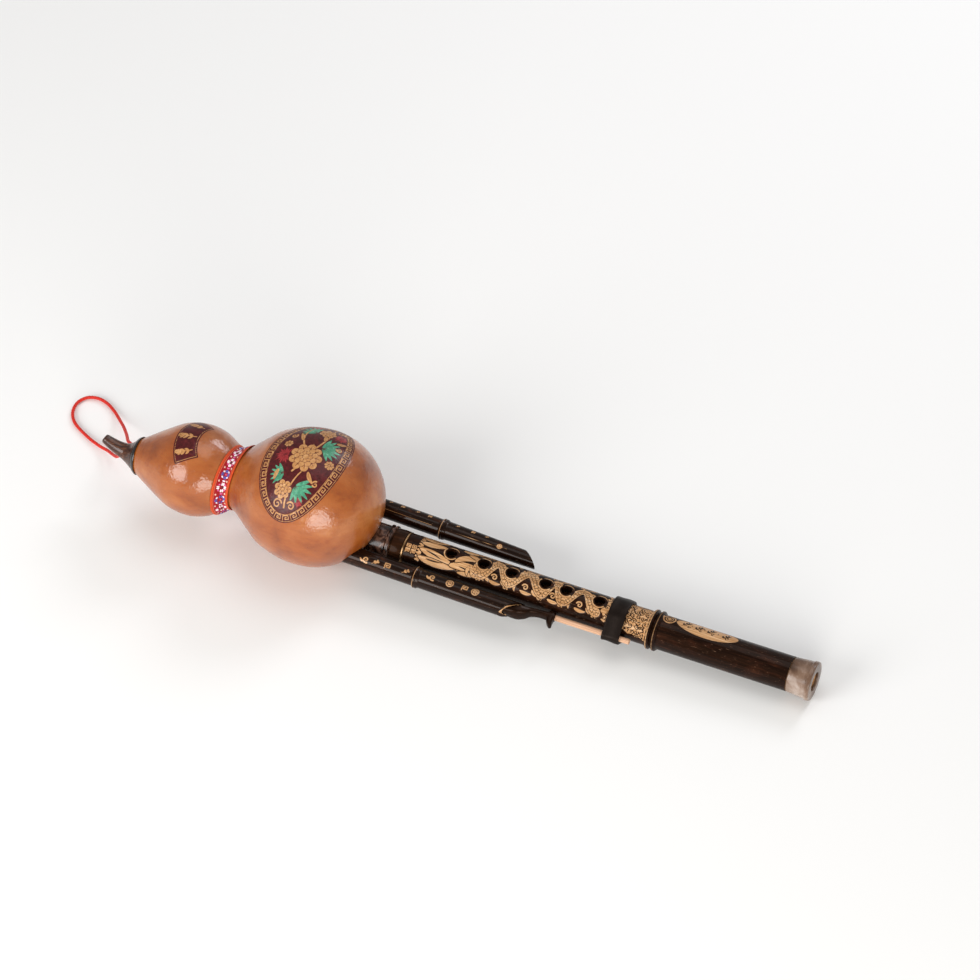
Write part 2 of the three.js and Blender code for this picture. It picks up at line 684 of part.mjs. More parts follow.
function bandGeometry() {
  const strap = strapOutline(bandThickness, new THREE.Shape());
  strap.holes.push(strapOutline(0, new THREE.Path()));
  return extrudeAlongX(strap, bandMiddle - bandWidth / 2, bandWidth);
}

// Stopper of the near drone: a plug and head on the drone's axis, a strip beside it and a hook
// that carries the rod
function stopperPlugGeometry() {
  const headStart = nearLine.length - droneMouthSlant + stopperExposedMouth;
  const headEnd = headStart + stopperHeadLength;
  const taperEnd = headEnd + stopperTaperLength;
  const plugEnd = headStart - stopperPlugLength;
  const shankRadius = droneBore / 2 - stopperPlugPlay;
  const body = turned([
    [plugEnd, 0], [plugEnd, stopperPlugEndRadius], [headStart, shankRadius], [headEnd, shankRadius],
    [headEnd, 0],
  ], smallSegments);
  const head = turned([
    [headStart, 0], [headStart, stopperHeadRadius], [headEnd, stopperHeadRadius],
    [taperEnd, stopperTaperEndRadius], [taperEnd, 0],
  ], droneSegments);
  const beyondMouth = mouthCutter(nearLine, droneRadius, -1, stopperMouthGap);
  const plug = join(body, common(head, beyondMouth));
  return plug.applyMatrix4(alongLine(new THREE.Object3D(), nearLine.start, nearLine.tip).matrixWorld);
}

function hookGeometry() {
  const shape = new THREE.Shape();
  const inner = rodY + rodRadius + stopperHookWall;
  const tip = rodY - stopperHookReach;
  const shoulder = rodY - stopperHookShares.shoulder * stopperHookReach;
  shape.moveTo(0, inner);
  shape.lineTo(stopperHookWidth, inner);
  shape.lineTo(stopperHookWidth, shoulder);
  shape.lineTo(stopperHookShares.tipEnd * stopperHookWidth, tip);
  shape.lineTo(stopperHookShares.tipStart * stopperHookWidth, tip);
  shape.lineTo(0, shoulder);
  shape.closePath();
  const geometry = new THREE.ExtrudeGeometry(shape, { depth: stopperHookThickness, bevelEnabled: false });
  return geometry.translate(hookX, 0, -stopperHookThickness / 2);
}

function stopperGeometry() {
  const stripLength = stopperStripLength + stopperStripRoot;
  const strip = box(
    stripLength, stopperStripThickness, stopperStripWidth,
    stripStartX + stripLength / 2, rodY - stopperStripShift, nearDroneTipRise / 2,
  );
  const socketEnd = hookX + stopperHookWidth + overrun;
  const socket = rod(rodStartX - clearance, socketEnd, rodRadius + clearance, smallSegments);
  return cut(join(stopperPlugGeometry(), strip, hookGeometry()), socket.translate(0, rodY, 0));
}

function rodGeometry() {
  const end = rodStartX + rodLength;
  return turned([
    [rodStartX, 0], [rodStartX, rodRadius], [end - rodChamfer, rodRadius],
    [end, rodRadius - rodChamfer], [end, 0],
  ], smallSegments).translate(0, rodY, 0);
}

// Knot: a ball with a short tail that sits in the mouthpiece's back
function knotGeometry() {
  const steps = smallSegments / 2;
  const tailEnd = clearance;
  const ball = Array.from({ length: steps + 1 }, (_, i) => {
    const angle = (i / steps) * Math.PI;
    const x = tailEnd + cordKnotRadius * (1 - Math.cos(angle));
    return [x, cordKnotRadius * Math.sin(angle)];
  });
  const tail = rod(-cordTailLength, tailEnd + cordTailRadius, cordTailRadius, cordSides);
  return join(turned(ball, smallSegments), tail).applyMatrix4(knotPlace());
}

// Assembly: the instrument group holds the main pipe's axis as its X axis
const instrument = new THREE.Group();
instrument.add(gourd);
gourd.add(
  finish('gourd_shell', shellGeometry(), 0xb5713a, 0.35),
  finish('mouthpiece', mouthpieceGeometry(), 0x3a241c, 0.35),
  finish('neck_collar', neckCollarGeometry(), 0x17100e, 0.3),
  finish('waist_ribbon', ribbonGeometry(), 0xa8323c, 0.9),
  finish('cord_knot', knotGeometry(), 0xb3201c, 0.8),
);
instrument.add(
  finish('pipe_socket', socketGeometry(), 0x5a4a40, 0.35),
  finish('pipe_bed', bedGeometry(), 0x4a3423, 0.7),
);

function addReed(group, prefix, x, boreDiameter, reedLength, reedWidth) {
  group.add(
    finish(`${prefix}_reed`, reedPlate(x, boreDiameter, reedLength, reedWidth), 0xc9a24a, 0.35, 1),
    finish(`${prefix}_reed_wax`, waxFrame(x, boreDiameter, reedLength, reedWidth), 0x7a4a22, 0.7),
  );
}

addReed(instrument, 'main', mainReedX, reedTubeBore, mainReedLength, mainReedWidth);
instrument.add(finish(
  'main_end_plug', endPlug(-reedTubeReach, reedTubeBore, reedTubeRadius), 0x8a6238, 0.6,
));

[
  ['near', nearLine, droneRadius, droneBore, -1],
  ['far', farLine, farDroneTipRadius, farDroneTipBore, 1],
].forEach(([prefix, line, tipRadius, tipBore, side]) => {
  const drone = alongLine(new THREE.Group(), line.start, line.tip);
  drone.add(
    finish(`${prefix}_drone`, droneGeometry(line, tipRadius, tipBore, side), 0x2c2321, 0.35),
    finish(`${prefix}_end_plug`, endPlug(0, droneBore, droneRadius), 0x8a6238, 0.6),
  );
  addReed(drone, prefix, droneReedX, droneBore, droneReedLength, droneReedWidth);
  instrument.add(drone);
});

const mainPipe = new THREE.Group();
mainPipe.position.x = mainPipeX;
mainPipe.add(
  finish('main_pipe', mainPipeGeometry(), 0x2e2320, 0.4),
  finish('tenon_lapping', ring(
    -tenonLength + lappingEndMargin, -lappingEndMargin, tenonRadius + clearance,
    tenonRadius + clearance + lappingThickness, pipeSegments,
  ), 0xd8c9a0, 0.9),
  finish('pipe_sleeve', ring(
    clearance, clearance + sleeveLength, sleeveSeatRadius + clearance, sleeveRadius, pipeSegments,
  ), 0x33261f, 0.4),
  finish('sleeve_ring', ring(
    2 * clearance + sleeveLength, 2 * clearance + sleeveLength + sleeveRingWidth,
    sleeveSeatRadius + clearance, sleeveRadius, pipeSegments,
  ), 0xc8a050, 0.3, 1),
  finish('foot_ferrule', ferruleGeometry(), 0x6a5a4c, 0.3),
  finish('guide_band', bandGeometry(), 0x151313, 0.6),
);
instrument.add(
  mainPipe,
  finish('drone_stopper', stopperGeometry(), 0x121112, 0.4),
  finish('stopper_rod', rodGeometry(), 0xd9b79c, 0.6),
);

// On its back: turned until the big bulb and the foot both touch the ground, then moved until the
// middle of its underside is the origin
const footX = mainPipeX + mainPipeLength;
const bulbDepth = bulbRadius * Math.cos(Math.PI / gourdSegments);
const footDepth = ferruleEndRadius * Math.cos(Math.PI / pipeSegments);
const riseToFoot = gourdRise + footDepth;
const lieTilt = Math.asin(bulbDepth / Math.hypot(footX, riseToFoot)) - Math.atan2(riseToFoot, footX);
instrument.rotation.y = lieTilt;
instrument.updateMatrixWorld(true);
const lyingBox = new THREE.Box3().setFromObject(instrument, true);
const underside = lyingBox.getCenter(new THREE.Vector3()).setZ(lyingBox.min.z);
instrument.position.sub(underside);

const root = new THREE.Group();
root.add(instrument, finish('cord_loop', cordGeometry(), 0xb3201c, 0.8));

export default root;
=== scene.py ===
import json
import math
import random

import bmesh
import bpy
import numpy as np
from mathutils import Matrix, Vector


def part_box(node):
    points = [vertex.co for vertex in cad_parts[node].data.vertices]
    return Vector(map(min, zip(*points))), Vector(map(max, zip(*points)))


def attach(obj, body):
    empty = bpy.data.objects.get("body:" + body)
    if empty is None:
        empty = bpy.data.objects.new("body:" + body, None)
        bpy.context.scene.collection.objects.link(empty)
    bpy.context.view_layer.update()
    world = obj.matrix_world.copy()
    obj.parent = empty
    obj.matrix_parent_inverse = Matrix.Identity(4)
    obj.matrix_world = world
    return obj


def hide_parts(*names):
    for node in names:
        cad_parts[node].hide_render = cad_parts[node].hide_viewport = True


# Hulusi: everything below is drawn in millimetres along the flute and placed in the CAD's frame.
mm = 0.001
mergeGap = 2e-6  # metres
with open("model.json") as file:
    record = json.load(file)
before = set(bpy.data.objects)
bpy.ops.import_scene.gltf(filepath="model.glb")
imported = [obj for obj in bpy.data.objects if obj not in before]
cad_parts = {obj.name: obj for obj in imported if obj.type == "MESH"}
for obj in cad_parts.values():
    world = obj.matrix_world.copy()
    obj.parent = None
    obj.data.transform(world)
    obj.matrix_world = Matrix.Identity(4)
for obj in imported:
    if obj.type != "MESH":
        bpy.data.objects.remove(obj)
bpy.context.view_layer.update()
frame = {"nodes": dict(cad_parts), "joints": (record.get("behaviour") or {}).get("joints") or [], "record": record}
scene = bpy.context.scene


def linear(hexColour):
    # an sRGB hex value as Blender's linear colour
    parts = [int(hexColour[i:i + 2], 16) / 255 for i in (1, 3, 5)]
    return [*(p / 12.92 if p <= 0.04045 else ((p + 0.055) / 1.055) ** 2.4 for p in parts), 1]


def connect(tree, source, socket):
    # a node stands for its first enabled output
    if isinstance(source, bpy.types.Node):
        source = next(output for output in source.outputs if output.enabled)
    tree.links.new(source, socket)


def addNode(tree, kind, settings=None, links=None):
    # one node, its kind given without the prefix: settings are sockets (by name or number) or
    # properties, links are what feeds a socket
    prefixes = ["GeometryNode", "ShaderNode", "FunctionNode", "Node"]
    if tree.type == "SHADER":
        prefixes = ["ShaderNode"]
    node = tree.nodes.new(next(p + kind for p in prefixes if hasattr(bpy.types, p + kind)))
    for key, value in (settings or {}).items():
        if key == "stops":  # of a colour ramp: (position, hex colour)
            ramp = node.color_ramp.elements
            while len(ramp) < len(value):
                ramp.new(0.5)
            for element, (place, colour) in zip(ramp, value):
                element.position = place
                element.color = linear(colour)
        elif not isinstance(key, int) and hasattr(node, key):
            setattr(node, key, value)
        else:
            node.inputs[key].default_value = value
    for key, source in (links or {}).items():
        connect(tree, source, node.inputs[key])
    return node


def newObject(name, data=None):
    thing = bpy.data.objects.new(name, bpy.data.meshes.new(name) if data is None else data)
    scene.collection.objects.link(thing)
    return thing


def shift(*place):
    # a move in millimetres
    return Matrix.Translation(Vector(place) * mm)


camera = {
    "eye": (819.9, -1634.1, 2161.1),
    "right": (0.91726, 0.39632, -0.03961),
    "up": (-0.27431, 0.70069, 0.65863),
    "back": (0.28878, -0.59327, 0.75142),
    "focalPixels": 5000,
    "framePixels": 980,
    "sensorWidth": 36,
}
lens = bpy.data.cameras.new("photoCamera")
lens.sensor_width = camera["sensorWidth"]
lens.lens = camera["focalPixels"] / camera["framePixels"] * camera["sensorWidth"]
lens.clip_start = 0.05
lens.clip_end = 20
photoCamera = newObject("photoCamera", lens)
cameraTurn = Matrix((camera["right"], camera["up"], camera["back"])).transposed().to_4x4()
photoCamera.matrix_world = shift(*camera["eye"]) @ cameraTurn
scene.camera = photoCamera

# Places: the flute's own frame has X along the main pipe, with 0 at the big bulb's centre
pipeAxis = Vector(frame["joints"][0]["axis"])
footCentre = Vector(frame["record"]["mounts"][0]["pos_m"])
footCentre.y = sum(corner.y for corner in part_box("foot_ferrule")) / 2
footX = 302.2
lieTurn = Matrix.Rotation(math.atan2(-pipeAxis.z, pipeAxis.x), 4, "Y")
flutePlace = Matrix.Translation(footCentre - pipeAxis * footX * mm) @ lieTurn
gourdSeat = {"yaw": 2.8, "pitch": 3.5, "centre": (0, 0.5, 19.5)}
gourdYaw = Matrix.Rotation(math.radians(gourdSeat["yaw"]), 4, "Z")
gourdPitch = Matrix.Rotation(math.radians(-gourdSeat["pitch"]), 4, "Y")
gourdPlace = flutePlace @ shift(*gourdSeat["centre"]) @ gourdYaw @ gourdPitch

# Drones: each lies between two points of the flute's frame, and has X from its reed end to its tip
drones = {
    "near": {"start": (-8, -16.969, 2.631), "tip": (134.3, -18.6, 1), "side": -1,
             "tipRadius": 5.4, "tipBore": 3.6},
    "far": {"start": (-8, 21.897, 3.3095), "tip": (129.8, 18, 2.1), "side": 1,
            "tipRadius": 4.3, "tipBore": 2.8},
}
for drone in drones.values():
    direction = Vector(drone["tip"]) - Vector(drone["start"])
    droneTurn = Vector((1, 0, 0)).rotation_difference(direction).to_matrix().to_4x4()
    drone["length"] = direction.length
    drone["place"] = flutePlace @ shift(*drone["start"]) @ droneTurn


def meshObject(name, points, faces, place=None):
    # points in millimetres
    mesh = bpy.data.meshes.new(name)
    mesh.from_pydata([Vector(p) * mm for p in points], [], faces)
    if place is not None:
        mesh.transform(place)
    mesh.validate()
    return newObject(name, mesh)


def outward(thing, smoothAngle=40):
    # merges doubles, turns every face outwards and smooths all but the sharp edges
    mesh = thing.data
    shape = bmesh.new()
    shape.from_mesh(mesh)
    bmesh.ops.remove_doubles(shape, verts=shape.verts, dist=mergeGap)
    bmesh.ops.dissolve_degenerate(shape, edges=shape.edges, dist=1e-7)
    bmesh.ops.recalc_face_normals(shape, faces=shape.faces)
    if shape.calc_volume(signed=True) < 0:
        bmesh.ops.reverse_faces(shape, faces=shape.faces)
    shape.to_mesh(mesh)
    shape.free()
    mesh.polygons.foreach_set("use_smooth", [True] * len(mesh.polygons))
    mesh.set_sharp_from_angle(angle=math.radians(smoothAngle))
    mesh.update()


def plainMesh(thing, smoothAngle=40):
    # replaces an object's modifiers by the mesh that they make
    evaluated = thing.evaluated_get(bpy.context.evaluated_depsgraph_get())
    mesh = bpy.data.meshes.new_from_object(evaluated)
    thing.modifiers.clear()
    old = thing.data
    thing.data = mesh
    mesh.name = thing.name
    bpy.data.meshes.remove(old)
    outward(thing, smoothAngle)


def oneFinish(thing, finish):
    # leaves a piece with a single material slot
    thing.data.polygons.foreach_set("material_index", [0] * len(thing.data.polygons))
    thing.data.materials.clear()
    thing.data.materials.append(finish)


def combine(thing, others, operation="DIFFERENCE", smoothAngle=40):
    # cuts other shapes out of a piece, or joins them to it; cut faces keep the piece's finish
    finish = next(filter(None, thing.data.materials))
    for other in others:
        oneFinish(other, finish)
        modifier = thing.modifiers.new("combine", "BOOLEAN")
        modifier.object = other
        modifier.operation = operation
        modifier.solver = "EXACT"
    plainMesh(thing, smoothAngle)
    oneFinish(thing, finish)
    for other in others:
        bpy.data.objects.remove(other)


def corners(thing, place):
    # a piece's vertices in a frame of its own, in millimetres
    flat = np.empty(len(thing.data.vertices) * 3, np.float32)
    thing.data.vertices.foreach_get("co", flat)
    points = flat.reshape(-1, 3).astype(float)
    back = np.array(place.inverted())
    return (points @ back[:3, :3].T + back[:3, 3]) / mm


def sink(thing, points, place, depth):
    # lowers vertices towards the X axis of their frame by a depth each, in millimetres
    radius = np.hypot(points[:, 1], points[:, 2])
    lowered = points.copy()
    lowered[:, 1:] *= (1 - depth / np.maximum(radius, 1))[:, None]
    there = np.array(place)
    moved = (lowered * mm) @ there[:3, :3].T + there[:3, 3]
    thing.data.vertices.foreach_set("co", moved.astype(np.float32).ravel())
    thing.data.update()


def writeField(thing, name, values):
    # a number, vector or colour for each vertex
    values = np.asarray(values, np.float32)
    kinds = {1: ("FLOAT", "value"), 3: ("FLOAT_VECTOR", "vector"), 4: ("FLOAT_COLOR", "color")}
    kind, key = kinds[values.size // len(values)]
    thing.data.attributes.new(name, kind, "POINT").data.foreach_set(key, values.ravel())


def newTree(name, inputs):
    # an empty Geometry Nodes tree, and its named inputs as sockets to link from
    tree = bpy.data.node_groups.new(name, "GeometryNodeTree")
    tree.interface.new_socket("Geometry", in_out="OUTPUT", socket_type="NodeSocketGeometry")
    for label, kind in {**inputs, "Finish": "Material"}.items():
        tree.interface.new_socket(label, in_out="INPUT", socket_type=f"NodeSocket{kind}")
    return tree, addNode(tree, "GroupInput").outputs


def endTree(tree, given, geometry):
    # real geometry in place of instances, in the finish that is given
    whole = addNode(tree, "RealizeInstances", {}, {0: geometry})
    painted = addNode(tree, "SetMaterial", {}, {0: whole, "Material": given["Finish"]})
    addNode(tree, "GroupOutput", {}, {0: painted})
    return tree


# Turned pieces: a Geometry Nodes tree bends a grid round the X axis, one row for each outline point
def turnedTree():
    tree, given = newTree("turnedPiece", {
        "Outline": "Object", "Angles": "Object", "Unevenness": "Float", "Unevenness Size": "Float",
        "Seed": "Float"})
    outline = addNode(tree, "ObjectInfo", {}, {"Object": given["Outline"]}).outputs["Geometry"]
    angles = addNode(tree, "ObjectInfo", {}, {"Object": given["Angles"]}).outputs["Geometry"]
    rows = addNode(tree, "AttributeDomainSize", {}, {0: outline})
    columns = addNode(tree, "AttributeDomainSize", {}, {0: angles})
    grid = addNode(tree, "MeshGrid", {}, {"Vertices X": rows, "Vertices Y": columns})
    index = addNode(tree, "InputIndex")
    position = addNode(tree, "InputPosition")
    part = addNode(tree, "Math", {"operation": "DIVIDE"}, {0: index, 1: columns})
    row = addNode(tree, "Math", {"operation": "FLOOR"}, {0: part})
    column = addNode(tree, "Math", {"operation": "FLOORED_MODULO"}, {0: index, 1: columns})
    at = []
    for source, count in ((outline, row), (angles, column)):
        sample = addNode(tree, "SampleIndex", {"data_type": "FLOAT_VECTOR", "clamp": True},
                         {0: source, "Value": position, "Index": count})
        at.append(addNode(tree, "SeparateXYZ", {}, {0: sample}).outputs)
    along, outlineRadius = at[0][0], at[0][1]
    unit = []
    for operation, factor in (("SINE", -1), ("COSINE", 1)):
        wave = addNode(tree, "Math", {"operation": operation}, {0: at[1][0]})
        unit.append(addNode(tree, "Math", {"operation": "MULTIPLY", 1: factor}, {0: wave}))

    def around(radius):
        sides = [addNode(tree, "Math", {"operation": "MULTIPLY"}, {0: radius, 1: u}) for u in unit]
        return addNode(tree, "CombineXYZ", {}, {0: along, 1: sides[0], 2: sides[1]})

    size = addNode(tree, "Math", {"operation": "DIVIDE", 0: 1.0}, {1: given["Unevenness Size"]})
    noise = addNode(tree, "TexNoise", {"noise_dimensions": "4D", "Detail": 1.0},
                    {"Vector": around(outlineRadius), "Scale": size, "W": given["Seed"]})
    lumps = addNode(tree, "Math", {"operation": "SUBTRACT", 1: 0.5}, {0: noise})
    swell = addNode(tree, "Math", {"operation": "MULTIPLY_ADD"},
                    {0: lumps, 1: given["Unevenness"], 2: outlineRadius})
    onAxis = addNode(tree, "Math", {"operation": "GREATER_THAN", 1: 1e-6}, {0: outlineRadius})
    radius = addNode(tree, "Math", {"operation": "MULTIPLY"}, {0: swell, 1: onAxis})
    bent = addNode(tree, "SetPosition", {}, {0: grid, "Position": around(radius)})
    closed = addNode(tree, "MergeByDistance", {"Distance": mergeGap}, {0: bent})
    return endTree(tree, given, closed)


turnedPieceTree = turnedTree()


def runTree(thing, tree, values):
    # gives a Geometry Nodes tree its inputs by name, and keeps the plain mesh that it makes
    modifier = thing.modifiers.new("nodes", "NODES")
    modifier.node_group = tree
    for item in tree.interface.items_tree:
        if item.in_out == "INPUT" and item.name in values:
            modifier[item.identifier] = values[item.name]
    plainMesh(thing)
    oneFinish(thing, values["Finish"])


def evenAngles(count):
    return np.linspace(0, 2 * math.pi, count + 1)


def denseFront(halfAngle, frontStep, backStep):
    # fine steps from -halfAngle to halfAngle, coarse ones round the back; degrees in, radians out
    half, whole = math.radians(halfAngle), 2 * math.pi
    front = np.linspace(-half, half, math.ceil(2 * half / frontStep) + 1)
    back = np.linspace(half, whole - half, math.ceil((whole - 2 * half) / backStep) + 1)
    return [*front[:-1], *back]


def roundedOutline(points):
    # the closed line through (x, radius) or (x, radius, fillet); fillets become small arcs
    result = []
    for i, (x, radius, *fillet) in enumerate(points):
        here = Vector((x, radius))
        if not fillet:
            result.append(tuple(here))
            continue
        before = Vector(points[i - 1][:2]) - here
        after = Vector(points[(i + 1) % len(points)][:2]) - here
        reach = min(fillet[0], before.length * 0.45, after.length * 0.45)
        a = here + before.normalized() * reach
        b = here + after.normalized() * reach
        for t in (0, 0.25, 0.5, 0.75, 1):
            result.append(tuple(a * (1 - t) ** 2 + here * 2 * t * (1 - t) + b * t * t))
    if points[0][1] > 0:  # an outline that starts on the axis also ends there
        result.append(result[0])
    return result


def fineRows(points, spans):
    # adds outline points where a pattern needs them: spans are (from x, to x, step, least radius)
    result = [points[0]]
    for a, b in zip(points, points[1:]):
        low, left, right = min(a[1], b[1]), min(a[0], b[0]), max(a[0], b[0])
        steps = [s for x0, x1, s, least in spans if low >= least and right > x0 and left < x1]
        run = math.dist(a, b)
        count = max(1, math.ceil(run / min(steps))) if steps and run > 0 else 1
        for i in range(1, count + 1):
            result.append((a[0] + (b[0] - a[0]) * i / count, a[1] + (b[1] - a[1]) * i / count))
    return result


def turned(name, outline, angles, place, finish, unevenness=0, unevennessSize=20, seed=0):
    rows = meshObject(f"{name}.outline", [(x, radius, 0) for x, radius in outline], [])
    columns = meshObject(f"{name}.angles", [(angle / mm, 0, 0) for angle in angles], [])
    thing = newObject(name)
    runTree(thing, turnedPieceTree, {
        "Outline": rows, "Angles": columns, "Unevenness": unevenness * mm,
        "Unevenness Size": unevennessSize * mm, "Seed": float(seed), "Finish": finish,
    })
    for helper in (rows, columns):
        bpy.data.objects.remove(helper)
    thing.data.transform(place)
    outward(thing)
    return thing


def ringFaces(rings, count, closed=False):
    # the quads between rings of points, and the two end caps of an open run
    faces = []
    for row in range(rings if closed else rings - 1):
        here, there = row * count, (row + 1) % rings * count
        for i in range(count):
            j = (i + 1) % count
            faces.append((here + i, here + j, there + j, there + i))
    if not closed:
        faces += [tuple(range(count))[::-1], tuple(range((rings - 1) * count, rings * count))]
    return faces


def drillBit(name, radius, x, fromZ, toZ, place, flare=0):
    # a round cutter along Z; flare widens it in a short cone before its end
    rows = [(radius, fromZ), (radius + flare, toZ)]
    if flare:
        coneStart, coneEnd = toZ - 2.2, toZ - 1
        rows[1:1] = [(radius, coneStart), (radius + flare, coneEnd)]
    angles = evenAngles(40)[:-1]
    points = [(x + r * math.cos(a), r * math.sin(a), z) for r, z in rows for a in angles]
    bit = meshObject(name, points, ringFaces(len(rows), len(angles)), place)
    outward(bit)
    return bit


def blockBit(name, low, high, place, spin=0, about=(0, 0, 0)):
    # a box-shaped cutter, turned about Z at a point
    points = [(x, y, z) for x in (low[0], high[0]) for y in (low[1], high[1])
              for z in (low[2], high[2])]
    faces = [(0, 1, 3, 2), (4, 6, 7, 5), (0, 4, 5, 1), (2, 3, 7, 6), (0, 2, 6, 4), (1, 5, 7, 3)]
    bit = meshObject(name, points, faces, place @ shift(*about) @ Matrix.Rotation(spin, 4, "Z"))
    outward(bit)
    return bit


def sweep(name, path, rings, place, finish):
    # a closed skin through rings of (side, front) points, one ring for each place on the path
    points = []
    for i, (centre, ring) in enumerate(zip(path, rings)):
        ahead = Vector(path[min(i + 1, len(path) - 1)]) - Vector(path[max(i - 1, 0)])
        ahead.normalize()
        side = Vector((0, 0, 1)).cross(ahead).normalized()
        front = ahead.cross(side)
        points += [Vector(centre) + side * a + front * b for a, b in ring]
    thing = meshObject(name, points, ringFaces(len(path), len(rings[0])), place)
    outward(thing, 50)
    thing.data.materials.append(finish)
    return thing


def circleRing(radius, count=28):
    return [(radius * math.cos(a), radius * math.sin(a)) for a in evenAngles(count)[:-1]]


def smoothPath(points, perSpan=8):
    # a Catmull-Rom curve through the points
    knots = np.array(points, float)
    result = []
    for i in range(len(knots) - 1):
        a, b, c, d = knots[max(i - 1, 0)], knots[i], knots[i + 1], knots[min(i + 2, len(knots) - 1)]
        for k in range(perSpan):
            t = k / perSpan
            result.append(b + t * (c - a) / 2 + t * t * (a - 2.5 * b + 2 * c - d / 2)
                          + t ** 3 * (1.5 * (b - c) + (d - a) / 2))
    return np.array([*result, knots[-1]])


def runAlong(path):
    # the distance of each point along a path
    return np.r_[0, np.cumsum(np.linalg.norm(np.diff(path, axis=0), axis=1))]


print("stage: helpers ready")


# Finishes. Patterns are in millimetres, in the frame of the piece that they lie on.
def startFinish(name, place, values):
    made = bpy.data.materials.new(name)
    made.use_nodes = True
    tree = made.node_tree
    surface = tree.nodes["Principled BSDF"]
    for key, value in values.items():
        surface.inputs[key].default_value = value
    back = Matrix.Scale(1 / mm, 4) @ place.inverted()
    spot = addNode(tree, "Mapping", {
        "Location": back.to_translation(), "Rotation": back.to_euler(), "Scale": back.to_scale(),
    }, {"Vector": addNode(tree, "TexCoord").outputs["Object"]})
    return made, tree, surface, spot


def endFinish(tree, surface, colour, height, strength, distance=0.0002):
    # every finish ends with its colour and its fine relief; the distance is in metres
    connect(tree, colour, surface.inputs["Base Color"])
    relief = {"Strength": strength, "Distance": distance}
    connect(tree, addNode(tree, "Bump", relief, {"Height": height}), surface.inputs["Normal"])


def drawnOut(tree, spot, stretch, settings):
    # a noise that is drawn out along the grain
    stretched = addNode(tree, "Mapping", {"Scale": stretch}, {"Vector": spot})
    return addNode(tree, "TexNoise", {"Scale": 1.0, **settings}, {"Vector": stretched})


colourMix = {"data_type": "RGBA"}
multiply = {**colourMix, "blend_type": "MULTIPLY"}
add = {**colourMix, "blend_type": "ADD"}


def addLayers(tree, under, layers):
    # paints each layer over the one before, where its attribute is above 0; softness is in mm
    for attribute, colour, softness in layers:
        distance = addNode(tree, "Attribute", {"attribute_name": attribute}).outputs["Fac"]
        cover = addNode(tree, "Math", {
            "operation": "MULTIPLY_ADD", "use_clamp": True, 1: 1 / softness, 2: 0.5}, {0: distance})
        under = addNode(tree, "Mix", colourMix, {0: cover, 6: under, 7: colour})
    return under


def gourdRind():
    # ripe gourd rind, burnished and lacquered: caramel with slow blotches, faint streaks and pores
    made, tree, surface, spot = startFinish("lacqueredGourdRind", gourdPlace, {
        "Roughness": 0.4, "Coat Weight": 0.75, "Coat Roughness": 0.16, "Coat IOR": 1.6,
        "Specular IOR Level": 0.15, "Subsurface Weight": 0.04, "Subsurface Scale": 0.003,
    })
    blotches = addNode(tree, "TexNoise", {
        "Scale": 1 / 24, "Detail": 4.0, "Roughness": 0.55, "Distortion": 0.4}, {"Vector": spot})
    skin = addNode(tree, "ValToRGB", {"stops": [
        (0.3, "#844116"), (0.46, "#9c521c"), (0.6, "#a75f2a"), (0.76, "#b87641")]}, {0: blotches})
    streaks = drawnOut(tree, spot, (0.04, 0.22, 0.22), {
        "Detail": 4.0, "Roughness": 0.65, "Distortion": 0.25})
    streakColour = addNode(tree, "ValToRGB", {"stops": [
        (0.34, "#d3b398"), (0.5, "#fbf3ec"), (0.66, "#ffffff")]}, {0: streaks})
    streaked = addNode(tree, "Mix", {**multiply, 0: 0.4}, {6: skin, 7: streakColour})
    pores = addNode(tree, "TexVoronoi", {"Scale": 1 / 3.2, "Randomness": 1.0}, {"Vector": spot})
    poreColour = addNode(tree, "ValToRGB", {"stops": [
        (0.05, "#8a5a34"), (0.13, "#ffffff")]}, {0: pores.outputs["Distance"]})
    dotted = addNode(tree, "Mix", {**multiply, 0: 0.35}, {6: streaked, 7: poreColour})
    grain = addNode(tree, "TexNoise", {
        "Scale": 1 / 2.2, "Detail": 5.0, "Roughness": 0.7}, {"Vector": spot})
    # worn paint: each colour is uneven at the scale of the grain
    ink = addNode(tree, "ValToRGB", {"stops": [
        (0.35, "#3c0f10"), (0.6, "#55181a"), (0.75, "#6b2424")]}, {0: grain})
    tan = addNode(tree, "ValToRGB", {"stops": [
        (0.3, "#a8703f"), (0.55, "#c08c58"), (0.75, "#d2a575")]}, {0: grain})
    green = addNode(tree, "ValToRGB", {"stops": [
        (0.3, "#2f6b52"), (0.55, "#4f9a78"), (0.75, "#86bfa2")]}, {0: grain})
    red = addNode(tree, "ValToRGB", {"stops": [(0.3, "#7d2024"), (0.7, "#a8383a")]}, {0: grain})
    painted = addLayers(tree, dotted, [
        ("ground", ink, 0.12), ("accent", red, 0.2), ("leaf", green, 0.2), ("figure", tan, 0.16)])
    endFinish(tree, surface, painted, grain, 0.3, 0.0003)
    ground = addNode(tree, "Attribute", {"attribute_name": "ground"}).outputs["Fac"]
    clear = addNode(tree, "MapRange", {1: -0.1, 2: 0.1, 3: 0.8, 4: 0.18}, {0: ground})
    connect(tree, clear, surface.inputs["Coat Weight"])  # painted panels are duller than the rind
    waves = addNode(tree, "TexNoise", {
        "Scale": 1 / 4.4, "Detail": 3.0, "Roughness": 0.6}, {"Vector": spot})
    brushed = addNode(tree, "Bump", {"Strength": 1.0, "Distance": 0.00045}, {"Height": waves})
    connect(tree, brushed, surface.inputs["Coat Normal"])  # brushed lacquer breaks up a reflection
    return made


paintedWarmReflection = linear("#dc9c70")  # painted reflection: every reflection on dark wood and bamboo is tinted warm, as if warm surroundings were mirrored in it
